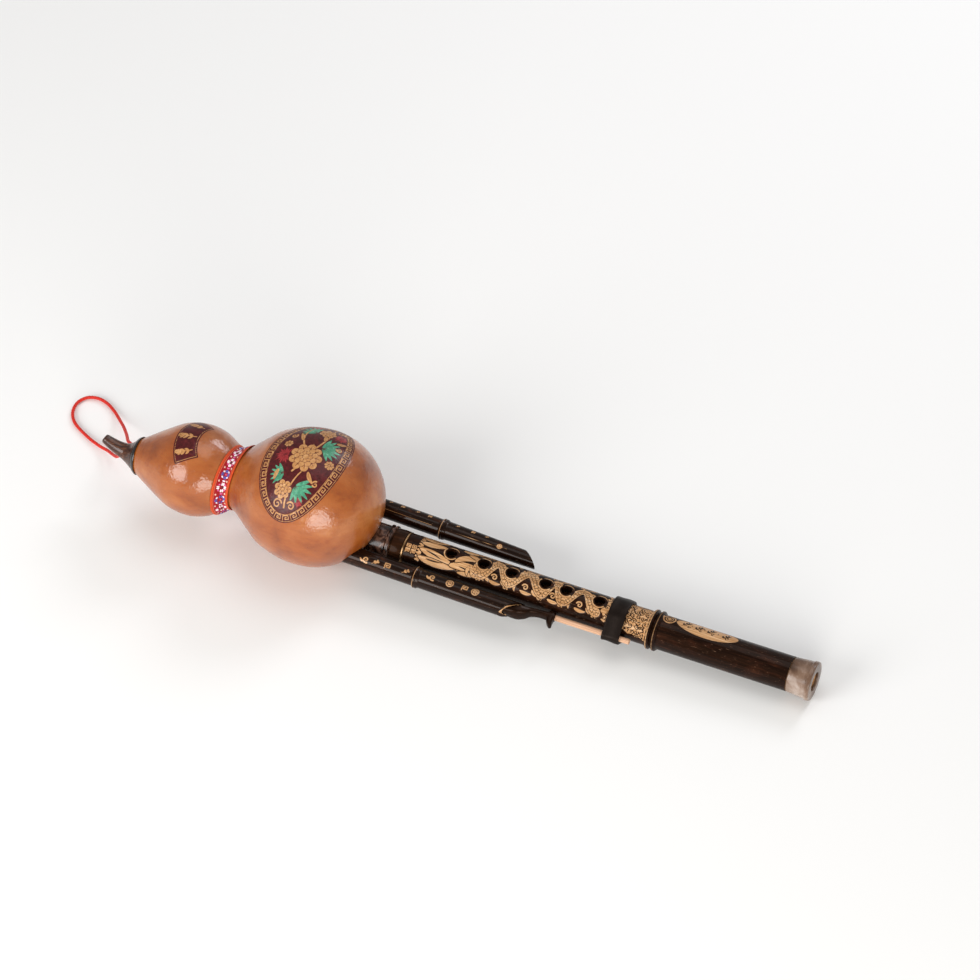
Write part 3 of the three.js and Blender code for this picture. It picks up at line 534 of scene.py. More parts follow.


def blackBamboo(name, place, shine, scales=False):
    # purple-black bamboo, polished: lengthwise fibres, tortoise mottling and short worn flecks;
    # carved through to pale wood
    made, tree, surface, spot = startFinish(name, place, {
        "Roughness": 0.34, "Specular IOR Level": 0.1, "Specular Tint": paintedWarmReflection,
        "Coat Weight": shine, "Coat Roughness": 0.07,
    })
    fibres = drawnOut(tree, spot, (0.035, 1.1, 1.1), {"Detail": 5.0, "Roughness": 0.6})
    skin = addNode(tree, "ValToRGB", {"stops": [
        (0.3, "#080201"), (0.5, "#130703"), (0.66, "#220f06"), (0.8, "#3c1f0e")]}, {0: fibres})
    mottle = drawnOut(tree, spot, (0.06, 0.16, 0.16), {
        "Detail": 4.0, "Roughness": 0.6, "Distortion": 1.2})
    tortoise = addNode(tree, "ValToRGB", {"stops": [
        (0.5, "#000000"), (0.63, "#28120a"), (0.74, "#5a321b")]}, {0: mottle})
    dark = addNode(tree, "Mix", {**add, 0: 0.5}, {6: skin, 7: tortoise})
    specks = drawnOut(tree, spot, (0.3, 1.5, 1.5), {"Detail": 3.0, "Roughness": 0.7})
    worn = addNode(tree, "ValToRGB", {"stops": [(0.63, "#000000"), (0.7, "#6e5442")]}, {0: specks})
    dark = addNode(tree, "Mix", {**add, 0: 0.6}, {6: dark, 7: worn})
    wood = addNode(tree, "ValToRGB", {"stops": [
        (0.3, "#95683f"), (0.5, "#bd8f62"), (0.7, "#d9b58d")]}, {0: fibres})
    colour = addLayers(tree, dark, [("carve", wood, 0.14), ("bare", wood, 0.2)])
    if scales:  # a net of dark lines, 1.7 mm from scale to scale
        net = addNode(tree, "Attribute", {"attribute_name": "scaleSpot"}).outputs["Vector"]
        cells = addNode(tree, "TexVoronoi", {
            "feature": "DISTANCE_TO_EDGE", "voronoi_dimensions": "2D", "Scale": 1 / 1.7,
            "Randomness": 0.42}, {"Vector": net})
        edge = addNode(tree, "Math", {
            "operation": "MULTIPLY_ADD", "use_clamp": True, 1: -14.0, 2: 1.7}, {0: cells})
        inside = addNode(tree, "Attribute", {"attribute_name": "scaled"}).outputs["Fac"]
        both = addNode(tree, "Math", {"operation": "MULTIPLY"}, {0: edge, 1: inside})
        colour = addNode(tree, "Mix", {**colourMix, 7: linear("#1c100b")}, {0: both, 6: colour})
    endFinish(tree, surface, colour, fibres, 0.18)
    return made


def grained(name, place, roughness, specular, coat, coatRoughness, stops, stretch, relief=0.15,
            distortion=0.5, **others):
    # one noise stretched along the grain colours and dents a natural material
    made, tree, surface, spot = startFinish(name, place, {
        "Roughness": roughness, "Specular IOR Level": specular, "Coat Weight": coat,
        "Coat Roughness": coatRoughness, **others,
    })
    grain = drawnOut(tree, spot, stretch, {
        "Detail": 5.0, "Roughness": 0.6, "Distortion": distortion})
    colour = addNode(tree, "ValToRGB", {"stops": stops}, {0: grain})
    endFinish(tree, surface, colour, grain, relief)
    return made


rind = gourdRind()
mainSkin = blackBamboo("carvedBlackBamboo", flutePlace, 0.15, True)
nearSkin = blackBamboo("nearDroneBamboo", drones["near"]["place"], 0.3)
farSkin = blackBamboo("farDroneBamboo", drones["far"]["place"], 0.3)
# cattle horn, polished: cloudy grey over brown
horn = grained(
    "polishedHorn", flutePlace, 0.26, 0.3, 0.15, 0.12,
    [(0.32, "#3d2a1d"), (0.45, "#5f4636"), (0.56, "#7a6150"), (0.7, "#a8978c")],
    (0.07, 0.06, 0.06), 0.05, 0.4)
# the same horn, smoked: nearly black with pale clouds
smokedHorn = grained(
    "smokedHorn", flutePlace, 0.24, 0.3, 0.2, 0.1,
    [(0.4, "#180a06"), (0.52, "#3d2418"), (0.63, "#6e4f40"), (0.76, "#a48c80")],
    (0.22, 0.22, 0.22), 0.05, 0.9)
# rosewood, oiled and rubbed by the lips: dark grain, a soft shine
stemWood = grained(
    "oiledRosewood", gourdPlace, 0.34, 0.3, 0.35, 0.14,
    [(0.3, "#1e0d07"), (0.5, "#402012"), (0.75, "#70452b")], (0.12, 0.9, 0.9))
# hardwood, stained and polished: brown that shows only in the light
sleeveWood = grained(
    "darkPolishedWood", flutePlace, 0.36, 0.12, 0.07, 0.08,
    [(0.3, "#150904"), (0.55, "#29150a"), (0.75, "#442813")], (0.1, 0.9, 0.9),
    **{"Specular Tint": paintedWarmReflection})
# brushed black lacquer: even and glossy
blackLacquer = grained(
    "blackLacquer", gourdPlace, 0.25, 0.5, 0.4, 0.08,
    [(0.3, "#0c0807"), (0.7, "#1c1310")], (0.3, 0.3, 0.3), 0.05)
# softwood under black stain: the grain stays just visible
stainedWood = grained(
    "blackStainedWood", flutePlace, 0.34, 0.14, 0.08, 0.12,
    [(0.3, "#0c0402"), (0.55, "#170a05"), (0.8, "#2c160b")], (0.15, 1.2, 1.2), 0.12,
    **{"Specular Tint": paintedWarmReflection})
# thin brass, dulled by handling
brass = grained(
    "dullBrass", flutePlace, 0.36, 0.5, 0, 0.03,
    [(0.3, "#80613f"), (0.7, "#b2906c")], (0.4, 0.4, 0.4), 0.04, Metallic=1.0)
# brass beaten thin for a reed: small dents
reedBrass = grained(
    "hammeredBrass", flutePlace, 0.32, 0.5, 0, 0.03,
    [(0.3, "#a57f3a"), (0.7, "#cfab5c")], (0.6, 0.6, 0.6), 0.25, Metallic=1.0)
# raw softwood: dry and dull
palePlug = grained(
    "rawSoftwood", flutePlace, 0.7, 0.5, 0, 0.03,
    [(0.3, "#7a5732"), (0.55, "#93703f"), (0.75, "#b08d5c")], (0.1, 0.8, 0.8))
# beeswax pressed on by hand: soft dents that let a little light in
brownWax = grained(
    "brownBeeswax", flutePlace, 0.5, 0.5, 0, 0.03,
    [(0.3, "#5f3a1a"), (0.7, "#8a5a2c")], (0.4, 0.4, 0.4), 0.4, **{"Subsurface Weight": 0.1})
# poured sealing wax: dark and uneven
bedWax = grained(
    "sealingWax", flutePlace, 0.55, 0.5, 0, 0.03,
    [(0.3, "#33200f"), (0.7, "#553822")], (0.3, 0.3, 0.3), 0.4)
# split bamboo, sanded: pale, with straight fibres
rodBamboo = grained(
    "paleBambooRod", flutePlace, 0.5, 0.5, 0, 0.03,
    [(0.3, "#ad7f60"), (0.5, "#c89b7a"), (0.75, "#e0bb9c")], (0.04, 1.6, 1.6))
# moulded black rubber, stretched: slightly shiny and uneven
bandRubber = grained(
    "blackRubber", flutePlace, 0.4, 0.22, 0, 0.03,
    [(0.3, "#090504"), (0.7, "#150e0b")], (0.5, 0.25, 0.25), 0.3, 1.0,
    # painted reflection: the rubber's reflections are tinted a little warm, as if warm surroundings were mirrored
    # in it
    **{"Specular Tint": linear("#d8c4b8")})
# cotton thread drawn through wax
lapping = grained(
    "waxedThread", flutePlace, 0.75, 0.5, 0, 0.03,
    [(0.3, "#b3a17a"), (0.7, "#ddd0ac")], (0.8, 0.8, 0.8), 0.3)
# braided rayon cord: bright red with a little fuzz
redCord = grained(
    "braidedRedCord", Matrix.Identity(4), 0.62, 0.3, 0, 0.03,
    [(0.3, "#9c150c"), (0.52, "#cf2415"), (0.75, "#e64632")], (1.6, 1.6, 1.6), 0.4,
    **{"Sheen Weight": 0.12, "Sheen Roughness": 0.4})

# Woven and stitched finishes
ribbonThread = 0.55  # millimetres from thread to thread, coarser than real ones so that they show
ribbonHalf = 4.8


def ribbonWeave():
    # jacquard ribbon: red, with raised warp and weft and flat orange selvedges
    made, tree, surface, _ = startFinish("wovenJacquardRibbon", gourdPlace, {
        "Roughness": 0.72, "Sheen Weight": 0.08, "Sheen Roughness": 0.4,
        "Specular IOR Level": 0.25,
    })
    spot = addNode(tree, "Attribute", {"attribute_name": "weave"}).outputs["Vector"]
    across = addNode(tree, "SeparateXYZ", {}, {0: spot}).outputs[1]
    away = addNode(tree, "Math", {"operation": "ABSOLUTE"}, {0: across})
    share = addNode(tree, "Math", {"operation": "MULTIPLY", 1: 1 / ribbonHalf}, {0: away})
    bands = addNode(tree, "ValToRGB", {"stops": [
        (0.0, "#b01420"), (0.58, "#bb1822"), (0.6, "#f0a070"), (0.64, "#c8301a"),
        (0.72, "#ea5420"), (0.86, "#ec5a26"), (0.93, "#cf3a18"), (1.0, "#b02c14")]}, {0: share})
    threads = [addNode(tree, "TexWave", {
        "bands_direction": way, "Scale": 2 * math.pi / 20 / ribbonThread, "Distortion": 0.6,
        "Detail": 1.0}, {"Vector": spot}).outputs["Fac"] for way in ("X", "Y")]
    cross = addNode(tree, "Math", {"operation": "MULTIPLY"}, {0: threads[0], 1: threads[1]})
    shade = addNode(tree, "ValToRGB", {"stops": [(0.0, "#8f8080"), (0.35, "#ffffff")]}, {0: cross})
    woven = addNode(tree, "Mix", {**multiply, 0: 0.8}, {6: bands, 7: shade})
    endFinish(tree, surface, woven, cross, 0.5)
    return made


def embroideryThread():
    # rayon floss: each stitch in its own colour, with a soft lengthwise shine
    made, tree, surface, spot = startFinish("rayonEmbroideryThread", gourdPlace, {
        "Roughness": 0.5, "Specular IOR Level": 0.35})
    colour = addNode(tree, "Attribute", {"attribute_name": "stitchColour"}).outputs["Color"]
    fray = addNode(tree, "TexNoise", {"Scale": 2.2, "Detail": 3.0}, {"Vector": spot})
    shade = addNode(tree, "ValToRGB", {"stops": [(0.35, "#b8aeb0"), (0.6, "#ffffff")]}, {0: fray})
    frayed = addNode(tree, "Mix", {**multiply, 0: 0.7}, {6: colour, 7: shade})
    endFinish(tree, surface, frayed, fray, 0.3, 0.0001)
    return made


redWeave = ribbonWeave()
floss = embroideryThread()
print("stage: finishes ready")

# The cord comes first: the route repeats the one that the CAD's loop follows, in millimetres
cordLoop = {
    "radius": 1.0,
    "strands": 4,
    "strandPitch": 7.0,
    "strandDepth": 0.12,
    "route": [
        (-203.7, 1.8, 28.9), (-205.2, 6.5, 26.8), (-208.5, 10.5, 23.7), (-212.8, 14.9, 20),
        (-218.3, 23.2, 14), (-225.6, 32.8, 8), (-232.4, 40.4, 3.6), (-238.6, 46.4, 1.6),
        (-245.4, 50.9, 1.3), (-252.4, 52.8, 1.3), (-258.9, 51.1, 1.3), (-262.7, 45.2, 1.3),
        (-261.7, 37.1, 1.3), (-256.2, 29.9, 1.3), (-245.1, 23.3, 1.4), (-235.4, 19, 2.1),
        (-227.9, 15.6, 4.4), (-220, 9.8, 9.2), (-216.4, 6.6, 13.5), (-213, 3.9, 18.5),
        (-209.3, 1.2, 23.8), (-205.5, -0.1, 28.4),
    ],
}


def twistedRings(path, cord, count=20):
    # cross sections of a twisted cord: lobes that turn along the path
    rings = []
    for run in runAlong(path):
        twist = 2 * math.pi * run / cord["strandPitch"]
        ring = []
        for a in evenAngles(count)[:-1]:
            lobe = abs(math.cos(cord["strands"] / 2 * (a - twist)))
            r = cord["radius"] - cord["strandDepth"] * (1 - lobe) * 1.6
            ring.append((r * math.cos(a), r * math.sin(a)))
        rings.append(ring)
    return rings


asItLies = Matrix.Identity(4)
cordPath = smoothPath(cordLoop["route"], 22)
cordPiece = sweep("cordLoop", cordPath, twistedRings(cordPath, cordLoop), asItLies, redCord)
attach(cordPiece, "gourd_body")
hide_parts("cord_loop")

# Gourd: one outline for its outside, and the same line moved in by its wall
gourdShape = {
    "bulbRadius": 39.5, "waist": -49, "waistRadius": 17, "smallBulb": -72.5, "smallRadius": 26.8,
    "neck": -111, "neckRadius": 8.9, "wall": 3,
    "shoulder": [(0.245, 0.947), (0.5, 0.756), (0.663, 0.5), (0.776, 0.298), (0.888, 0.102)],
    "rise": [(0.2, 0.32), (0.5, 0.75), (0.8, 0.96)],
    "neckLine": [(0.15, 0.97), (0.32, 0.87), (0.5, 0.665), (0.75, 0.34)],
    "fineStep": 0.42, "outerStep": 1.2, "innerStep": 4.0, "backStep": 2.6, "frontHalfAngle": 66,
    "fineSpans": [(-27, 26, 0.42), (-84.5, -63.5, 0.42)],  # under the painted panels
    "unevenness": 0.5, "unevennessSize": 30, "seed": 3,
    "mainHole": (-10, 60, 10.6), "droneHoleStart": -2, "droneHoleRadius": 5.7,
}


def gourdLine(shape):
    # the gourd's outline from the big bulb's pole to the neck, as (x, radius)
    big, waist, small = shape["bulbRadius"], shape["waist"], shape["smallBulb"]
    quarter = [i / 7 * math.pi / 2 for i in range(8)]
    points = [(big * math.cos(a), big * math.sin(a)) for a in quarter]
    for shares, start, end, low, high in (
        ([*shape["shoulder"], (1, 0)], 0, waist, shape["waistRadius"], big),
        ([*shape["rise"], (1, 1)], waist, small, shape["waistRadius"], shape["smallRadius"]),
        ([*shape["neckLine"], (1, 0)], small, shape["neck"], shape["neckRadius"],
         shape["smallRadius"]),
    ):
        points += [(start + a * (end - start), low + b * (high - low)) for a, b in shares]
    return smoothPath(points, 24)


outerLine = gourdLine(gourdShape)
lineX, lineRadius = outerLine[::-1, 0], outerLine[::-1, 1]


def gourdRows(spans, coarse, inset=0):
    # outline points moved inwards: fine steps where x lies in a span, coarse ones elsewhere
    along = runAlong(outerLine)
    marks = [0.0]
    while marks[-1] < along[-1]:
        x = np.interp(marks[-1], along, outerLine[:, 0])
        step = min([s for low, high, s in spans if low < x < high] + [coarse])
        marks.append(min(marks[-1] + step, along[-1]))
    at = np.c_[np.interp(marks, along, outerLine[:, 0]), np.interp(marks, along, outerLine[:, 1])]
    ahead = np.gradient(at, axis=0)
    ahead /= np.linalg.norm(ahead, axis=1)[:, None]
    moved = at - inset * np.c_[ahead[:, 1], -ahead[:, 0]]
    moved[0] = (outerLine[0, 0] - inset, 0)
    moved[-1, 0] = outerLine[-1, 0]
    return [tuple(p) for p in moved]


outside = gourdRows(gourdShape["fineSpans"], gourdShape["outerStep"])
inside = gourdRows([], gourdShape["innerStep"], gourdShape["wall"])
gourd = turned(
    "gourd", outside + inside[::-1],
    denseFront(gourdShape["frontHalfAngle"], gourdShape["fineStep"] / gourdShape["bulbRadius"],
               gourdShape["backStep"] / gourdShape["bulbRadius"]),
    gourdPlace, rind, gourdShape["unevenness"], gourdShape["unevennessSize"], gourdShape["seed"])


def pipeCutter(name, start, end, radius, place):
    points = [(start, 0), (start, radius), (end, radius), (end, 0)]
    return turned(name, points, evenAngles(64), place, rind)


pipeHoles = [pipeCutter("cutMain", *gourdShape["mainHole"], flutePlace)]
for name, drone in drones.items():
    pipeHoles.append(pipeCutter(f"cut.{name}", gourdShape["droneHoleStart"], drone["length"],
                                gourdShape["droneHoleRadius"], drone["place"]))
combine(gourd, pipeHoles)
print("stage: gourd", len(gourd.data.polygons))

# Main pipe: its outline, the cuts through it, then the carving on its skin
mainPipe = {
    "shoulder": 48.4, "radius": 10, "bore": 5.5, "tenonLength": 20, "tenonRadius": 6.9,
    "sleeveSeat": 8.8, "sleeveEnd": 56.9, "ferruleStart": 288.3, "spigotRadius": 7,
    "spigotEnd": 300.7,
    "nodeMiddle": 207.589, "nodeSpacing": 3.6, "nodeHeight": 1.5,
    "ridge": [(-1.7, 0), (-1.2, 0.55), (-0.5, 1), (0.5, 1), (1.2, 0.55), (1.7, 0)],
    "fingerHoles": [83.81, 103.6, 120.61, 141.19, 153.7, 173.8], "fingerRadius": 3.1, "flare": 0.7,
    "thumbHole": 71.24, "thumbRadius": 2.8, "tuningHoles": [248.9, 266.67], "tuningRadius": 2.4,
    "frontDrill": (0, 12), "backDrill": (-13, 0),  # from and to, across the pipe
    "frontHalfAngle": 95, "frontStep": 0.42, "backStep": 1.6,
    "fineSpans": [(56.9, 206, 0.4, 9.5), (206, 257, 0.5, 9.5)],  # under the carving
}
shoulder, pipeRadius = mainPipe["shoulder"], mainPipe["radius"]
tenonEnd, spigotEnd = shoulder - mainPipe["tenonLength"], mainPipe["spigotEnd"]
nodeCrests = [mainPipe["nodeMiddle"] + side * mainPipe["nodeSpacing"] / 2 for side in (-1, 1)]
nodeRidges = [(crest + x, pipeRadius + share * mainPipe["nodeHeight"])
              for crest in nodeCrests for x, share in mainPipe["ridge"]]
pipeOutline = roundedOutline([
    (tenonEnd, mainPipe["bore"], 0.4), (tenonEnd, mainPipe["tenonRadius"], 0.6),
    (shoulder, mainPipe["tenonRadius"]), (shoulder, mainPipe["sleeveSeat"], 0.2),
    (mainPipe["sleeveEnd"], mainPipe["sleeveSeat"]), (mainPipe["sleeveEnd"], pipeRadius, 0.3),
    *nodeRidges, (mainPipe["ferruleStart"], pipeRadius, 0.2),
    (mainPipe["ferruleStart"], mainPipe["spigotRadius"]),
    (spigotEnd, mainPipe["spigotRadius"], 0.3), (spigotEnd, mainPipe["bore"]),
])
pipe = turned("mainPipe", fineRows(pipeOutline, mainPipe["fineSpans"]),
              denseFront(mainPipe["frontHalfAngle"], mainPipe["frontStep"] / pipeRadius,
                         mainPipe["backStep"] / pipeRadius), flutePlace, mainSkin)
bits = [drillBit(f"fingerBit{i}", mainPipe["fingerRadius"], x, *mainPipe["frontDrill"], flutePlace,
                 mainPipe["flare"]) for i, x in enumerate(mainPipe["fingerHoles"])]
backHoles = [(mainPipe["thumbHole"], mainPipe["thumbRadius"])]
backHoles += [(x, mainPipe["tuningRadius"]) for x in mainPipe["tuningHoles"]]
bits += [drillBit(f"backBit{i}", radius, x, *mainPipe["backDrill"], flutePlace)
         for i, (x, radius) in enumerate(backHoles)]
combine(pipe, bits)
print("stage: main pipe", len(pipe.data.polygons))

# Rings and ends of the main pipe, and the socket that it slides in
fluteParts = []  # piece, body, CAD node, slot
turnedRings = [
    ("pipeSleeve", "pipe_sleeve", "sleeve_wood", sleeveWood, [
        (48.7, 9.1, 0.2), (48.7, 10.3, 0.35), (52.3, 10.42), (55.3, 10.3, 0.35), (55.3, 9.1, 0.2)]),
    ("sleeveRing", "sleeve_ring", "ring_brass", brass, [
        (55.6, 9.1, 0.1), (55.6, 10.25, 0.3), (56.6, 10.25, 0.3), (56.6, 9.1, 0.1)]),
    ("footFerrule", "foot_ferrule", "horn", horn, [
        (288.6, 7.3), (288.6, 10, 0.4), (292, 10.25), (296, 10.6), (299.2, 10.8, 0.3),
        (299.6, 11.3, 0.4), (footX, 11.3, 0.9), (footX, 5.5, 0.6), (301, 5.5), (301, 7.3)]),
]
for name, node, slot, finish, points in turnedRings:
    ring = turned(name, roundedOutline(points), evenAngles(96), flutePlace, finish)
    fluteParts.append((ring, "main_pipe_body", node, slot))

socketShape = {
    "radius": 10.3, "ridges": (44.75, 47.25),
    "ridge": [(-0.85, 0), (-0.6, 0.5), (-0.3, 0.9), (0.3, 0.9), (0.6, 0.5), (0.85, 0)],
    "reedSeat": [(-3.65, -9, 5.5), (15.65, 9, 12)],
    "reedWindow": [(-0.46, -1.68, 0), (12.46, 1.68, 9)],
}
socketRidges = [(middle + x, socketShape["radius"] + rise)
                for middle in socketShape["ridges"] for x, rise in socketShape["ridge"]]
socketPiece = turned("pipeSocket", roundedOutline([
    (-10, 4.6), (-10, 7.4, 0.4), (18, 7.4), (18, socketShape["radius"], 0.5), *socketRidges,
    (48.1, 8.1, 0.3), (27.8, 8.1), (27.8, 4.6),
]), evenAngles(96), flutePlace, smokedHorn)
combine(socketPiece, [blockBit("seatBit", *socketShape["reedSeat"], flutePlace),
                      blockBit("windowBit", *socketShape["reedWindow"], flutePlace)])
fluteParts.append((socketPiece, "gourd_body", "pipe_socket", "horn"))


# Waxed thread wound on the tenon: a Geometry Nodes spiral
def woundThreadTree():
    tree, given = newTree("woundThread", {
        "Turns": "Float", "Winding Radius": "Float", "Length": "Float", "Thread Radius": "Float"})
    spiral = addNode(tree, "CurveSpiral", {"Resolution": 24}, {
        "Rotations": given["Turns"], "Start Radius": given["Winding Radius"],
        "End Radius": given["Winding Radius"], "Height": given["Length"]})
    thread = addNode(tree, "CurvePrimitiveCircle", {"Resolution": 8},
                     {"Radius": given["Thread Radius"]})
    wound = addNode(tree, "CurveToMesh", {"Fill Caps": True},
                    {"Curve": spiral, "Profile Curve": thread})
    return endTree(tree, given, wound)


threadWinding = {"start": 30.75, "length": 15.3, "radius": 7.5, "threadRadius": 0.29, "pitch": 0.6}
winding = newObject("tenonThread")
runTree(winding, woundThreadTree(), {
    "Turns": threadWinding["length"] / threadWinding["pitch"],
    "Winding Radius": threadWinding["radius"] * mm, "Length": threadWinding["length"] * mm,
    "Thread Radius": threadWinding["threadRadius"] * mm, "Finish": lapping,
})
spiralTurn = Matrix.Rotation(math.pi / 2, 4, "Y")
winding.data.transform(flutePlace @ shift(threadWinding["start"], 0, 0) @ spiralTurn)
fluteParts.append((winding, "main_pipe_body", "tenon_lapping", "thread"))

# Drones: bamboo with one node, reed seat inside the gourd, mouth cut at a slant
droneShape = {
    "radius": 5.4, "bore": 3.6, "node": 78.3, "slant": 13, "fineSpans": [(44, 118, 0.45, 4.2)],
    "ridge": [(-2.24, 0), (-1.6, 0.28), (-0.88, 0.8), (-0.24, 0.64), (0.16, 0.44), (0.64, 0.72),
              (1.28, 0.4), (2.08, 0)],
    "reedSeat": [(4.9, -6, 4.5), (19.6, 6, 9)], "reedWindow": [(8, -1.12, 0), (17.5, 1.12, 7)],
    "mouth": [(0, -30, -30), (60, 30, 30)],
    "frontHalfAngle": 100, "frontStep": 0.45, "backStep": 1.0,
}
droneNode = [(droneShape["node"] + x, droneShape["radius"] + rise)
             for x, rise in droneShape["ridge"]]
slantAngle = math.atan2(droneShape["slant"], 2 * droneShape["radius"])
droneAngles = denseFront(
    droneShape["frontHalfAngle"], droneShape["frontStep"] / droneShape["radius"],
    droneShape["backStep"] / droneShape["radius"])
for name, drone in drones.items():
    place, length = drone["place"], drone["length"]
    outline = fineRows(roundedOutline([
        (0, droneShape["bore"], 0.3), (0, droneShape["radius"], 0.4), *droneNode,
        (length, drone["tipRadius"]), (length, drone["tipBore"]),
        (droneShape["node"], droneShape["bore"]),
    ]), droneShape["fineSpans"])
    piece = turned(f"{name}Drone", outline, droneAngles, place,
                   nearSkin if name == "near" else farSkin)
    mouthMiddle = (length - droneShape["slant"] / 2, 0, 0)
    combine(piece, [
        blockBit("mouthBit", *droneShape["mouth"], place, drone["side"] * slantAngle, mouthMiddle),
        blockBit("seatBit", *droneShape["reedSeat"], place),
        blockBit("windowBit", *droneShape["reedWindow"], place),
    ])
    drone["piece"] = piece
    fluteParts.append((piece, "gourd_body", f"{name}_drone", "drone_bamboo"))
print("stage: drones")

# Mouthpiece: a turned stem bent towards the front, bored, with its spigot in the neck
stem = {
    "neck": -111.3, "length": 19.8, "rise": 7, "side": 1.4, "spigot": 7, "spigotRadius": 5.6,
    "bore": 1.6, "joint": 0.3,
    "radii": [(0, 8.9), (0.04, 8.55), (0.1, 7.65), (0.16, 6.8), (0.22, 6.05), (0.36, 4.8),
              (0.48, 4.3), (0.6, 3.92), (0.85, 3.2), (0.95, 2.85), (0.985, 2.55), (1, 2.1)],
}
neck, jointed = stem["neck"], stem["neck"] + stem["joint"]
stemStart = np.array((neck, 0, 0))
stemMiddle = np.array((jointed - stem["length"] / 2, 0, 0))
stemTip = np.array((jointed - stem["length"], stem["side"], stem["rise"]))


def stemPoint(t):
    return tuple((1 - t) ** 2 * stemStart + 2 * t * (1 - t) * stemMiddle + t * t * stemTip)


stemBack = jointed + stem["spigot"]
stemPath = [(stemBack, 0, 0), (stemBack - 0.4, 0, 0), (neck + 0.02, 0, 0)]
stemRings = [circleRing(stem["spigotRadius"] - inset, 48) for inset in (0.4, 0, 0)]
for t in np.linspace(0, 1, 60):
    stemPath.append(stemPoint(t))
    stemRings.append(circleRing(np.interp(t, *zip(*stem["radii"])), 48))
mouthpiece = sweep("bentStem", stemPath, stemRings, gourdPlace, stemWood)
borePath = [(stemBack + 1, 0, 0), *(stemPoint(t) for t in np.linspace(0, 1, 24)),
            tuple(stemTip + (stemTip - stemMiddle) * 0.2)]
boreRings = [circleRing(stem["bore"], 32)] * len(borePath)
combine(mouthpiece, [sweep("stemBore", borePath, boreRings, gourdPlace, stemWood)],
        smoothAngle=50)
fluteParts.append((mouthpiece, "gourd_body", "mouthpiece", "mouthpiece_wood"))

# Lacquered collar over the joint of neck and stem, a little rounded
collarShape = {"start": -110.95, "end": -108.5, "gap": 0.35, "wall": 0.7, "rounding": 0.35}
collarX = np.linspace(collarShape["start"], collarShape["end"], 8)
collarUnder = np.interp(collarX, lineX, lineRadius) + collarShape["gap"]
bulge = collarShape["wall"] - collarShape["rounding"] * abs(np.linspace(-1, 1, 8)) ** 4
collarLine = [*zip(collarX, collarUnder), *zip(collarX[::-1], (collarUnder + bulge)[::-1])]
collar = turned("neckCollar", roundedOutline(collarLine), evenAngles(72), gourdPlace, blackLacquer)
fluteParts.append((collar, "gourd_body", "neck_collar", "black_lacquer"))
print("stage: mouthpiece")

# Ornament: strokes in millimetres on a flat layout of the skin, kept as fields that are positive
# where something is drawn
fieldLimit = 5.0
emptyField, offChart = -fieldLimit, 900


def limited(values):
    return np.clip(values, -fieldLimit, fieldLimit)


def unrolled(skin, radius, shown):
    # a skin laid flat, as (x, way round towards the near side); what isn't shown is far off
    chart = np.c_[skin[:, 0], np.arctan2(-skin[:, 1], skin[:, 2]) * radius]
    chart[~shown] = offChart
    return chart


def nearStroke(spots, path, widths):
    # which spots lie near a stroke, and its half width less their distance to it; widths are
    # half widths, spread evenly along the path
    path = np.asarray(path, float)
    given = np.atleast_1d(np.asarray(widths, float))
    widths = np.interp(np.linspace(0, 1, len(path)), np.linspace(0, 1, len(given)), given)
    reach = widths.max() + 1.2
    inside = (spots > path.min(0) - reach) & (spots < path.max(0) + reach)
    near = np.flatnonzero(inside.all(axis=1))
    here = spots[near]
    value = np.full(len(near), -reach)
    for start, end, startWidth, endWidth in zip(path, path[1:], widths, widths[1:]):
        run = end - start
        t = np.clip((here - start) @ run / max(run @ run, 1e-9), 0, 1)
        gap = np.linalg.norm(here - start - t[:, None] * run, axis=1)
        value = np.maximum(value, startWidth + t * (endWidth - startWidth) - gap)
    return near, value


def draw(field, spots, path, widths, outline=0.0):
    # fills a stroke, and leaves a line of the ground round it
    near, value = nearStroke(spots, path, widths)
    kept = np.minimum(field[near], -(value + outline)) if outline else field[near]
    field[near] = np.maximum(kept, value)


def cut(field, spots, path, widths):
    near, value = nearStroke(spots, path, widths)
    field[near] = np.minimum(field[near], -value)


def dot(centre):
    # the path of a round spot
    return np.array(centre, float) + [(0, 0), (0.01, 0)]


def bentLine(start, heading, length, bend, count=14):
    # a line that leaves start at a heading in degrees and turns evenly by bend
    headings = np.radians(heading + bend * np.linspace(0, 1, count))
    steps = np.c_[np.cos(headings), np.sin(headings)] * length / (count - 1)
    return np.array(start, float) + np.r_[[[0, 0]], np.cumsum(steps[:-1], axis=0)]


def leafWidths(width, count=14, fullest=0.42):
    # half widths of a leaf from its stalk to its tip
    t = np.linspace(0, 1, count) ** (math.log(0.5) / math.log(fullest))
    return width * np.clip(np.sin(np.pi * t), 0, 1) ** 0.8


def leaf(field, spots, start, heading, length, width, bend=0, outline=0.3, vein=0.0):
    path = bentLine(start, heading, length, bend)
    draw(field, spots, path, leafWidths(width), outline)
    if vein:
        cut(field, spots, path[2:-3], vein)


def curl(centre, radius, heading, turns, count=26):
    # a spiral that winds inwards; negative turns wind the other way
    t = np.linspace(0, 1, count)
    a = math.radians(heading) + 2 * np.pi * turns * t
    reach = radius * (1 - 0.82 * t)
    return np.array(centre, float) + np.c_[reach * np.cos(a), reach * np.sin(a)]


def ringPath(centre, radius, count=28):
    a = np.linspace(0, 2 * np.pi, count)
    return np.array(centre, float) + radius * np.c_[np.cos(a), np.sin(a)]


def leafFan(field, spots, start, heading, spread, length, leaves, width):
    # leaves that spread from one point, the middle ones longest
    for k in range(leaves):
        share = k / (leaves - 1) - 0.5
        reach = length * (1 - 0.55 * share * share)
        leaf(field, spots, start, heading + spread * share, reach, width, 30 * share, 0.22)


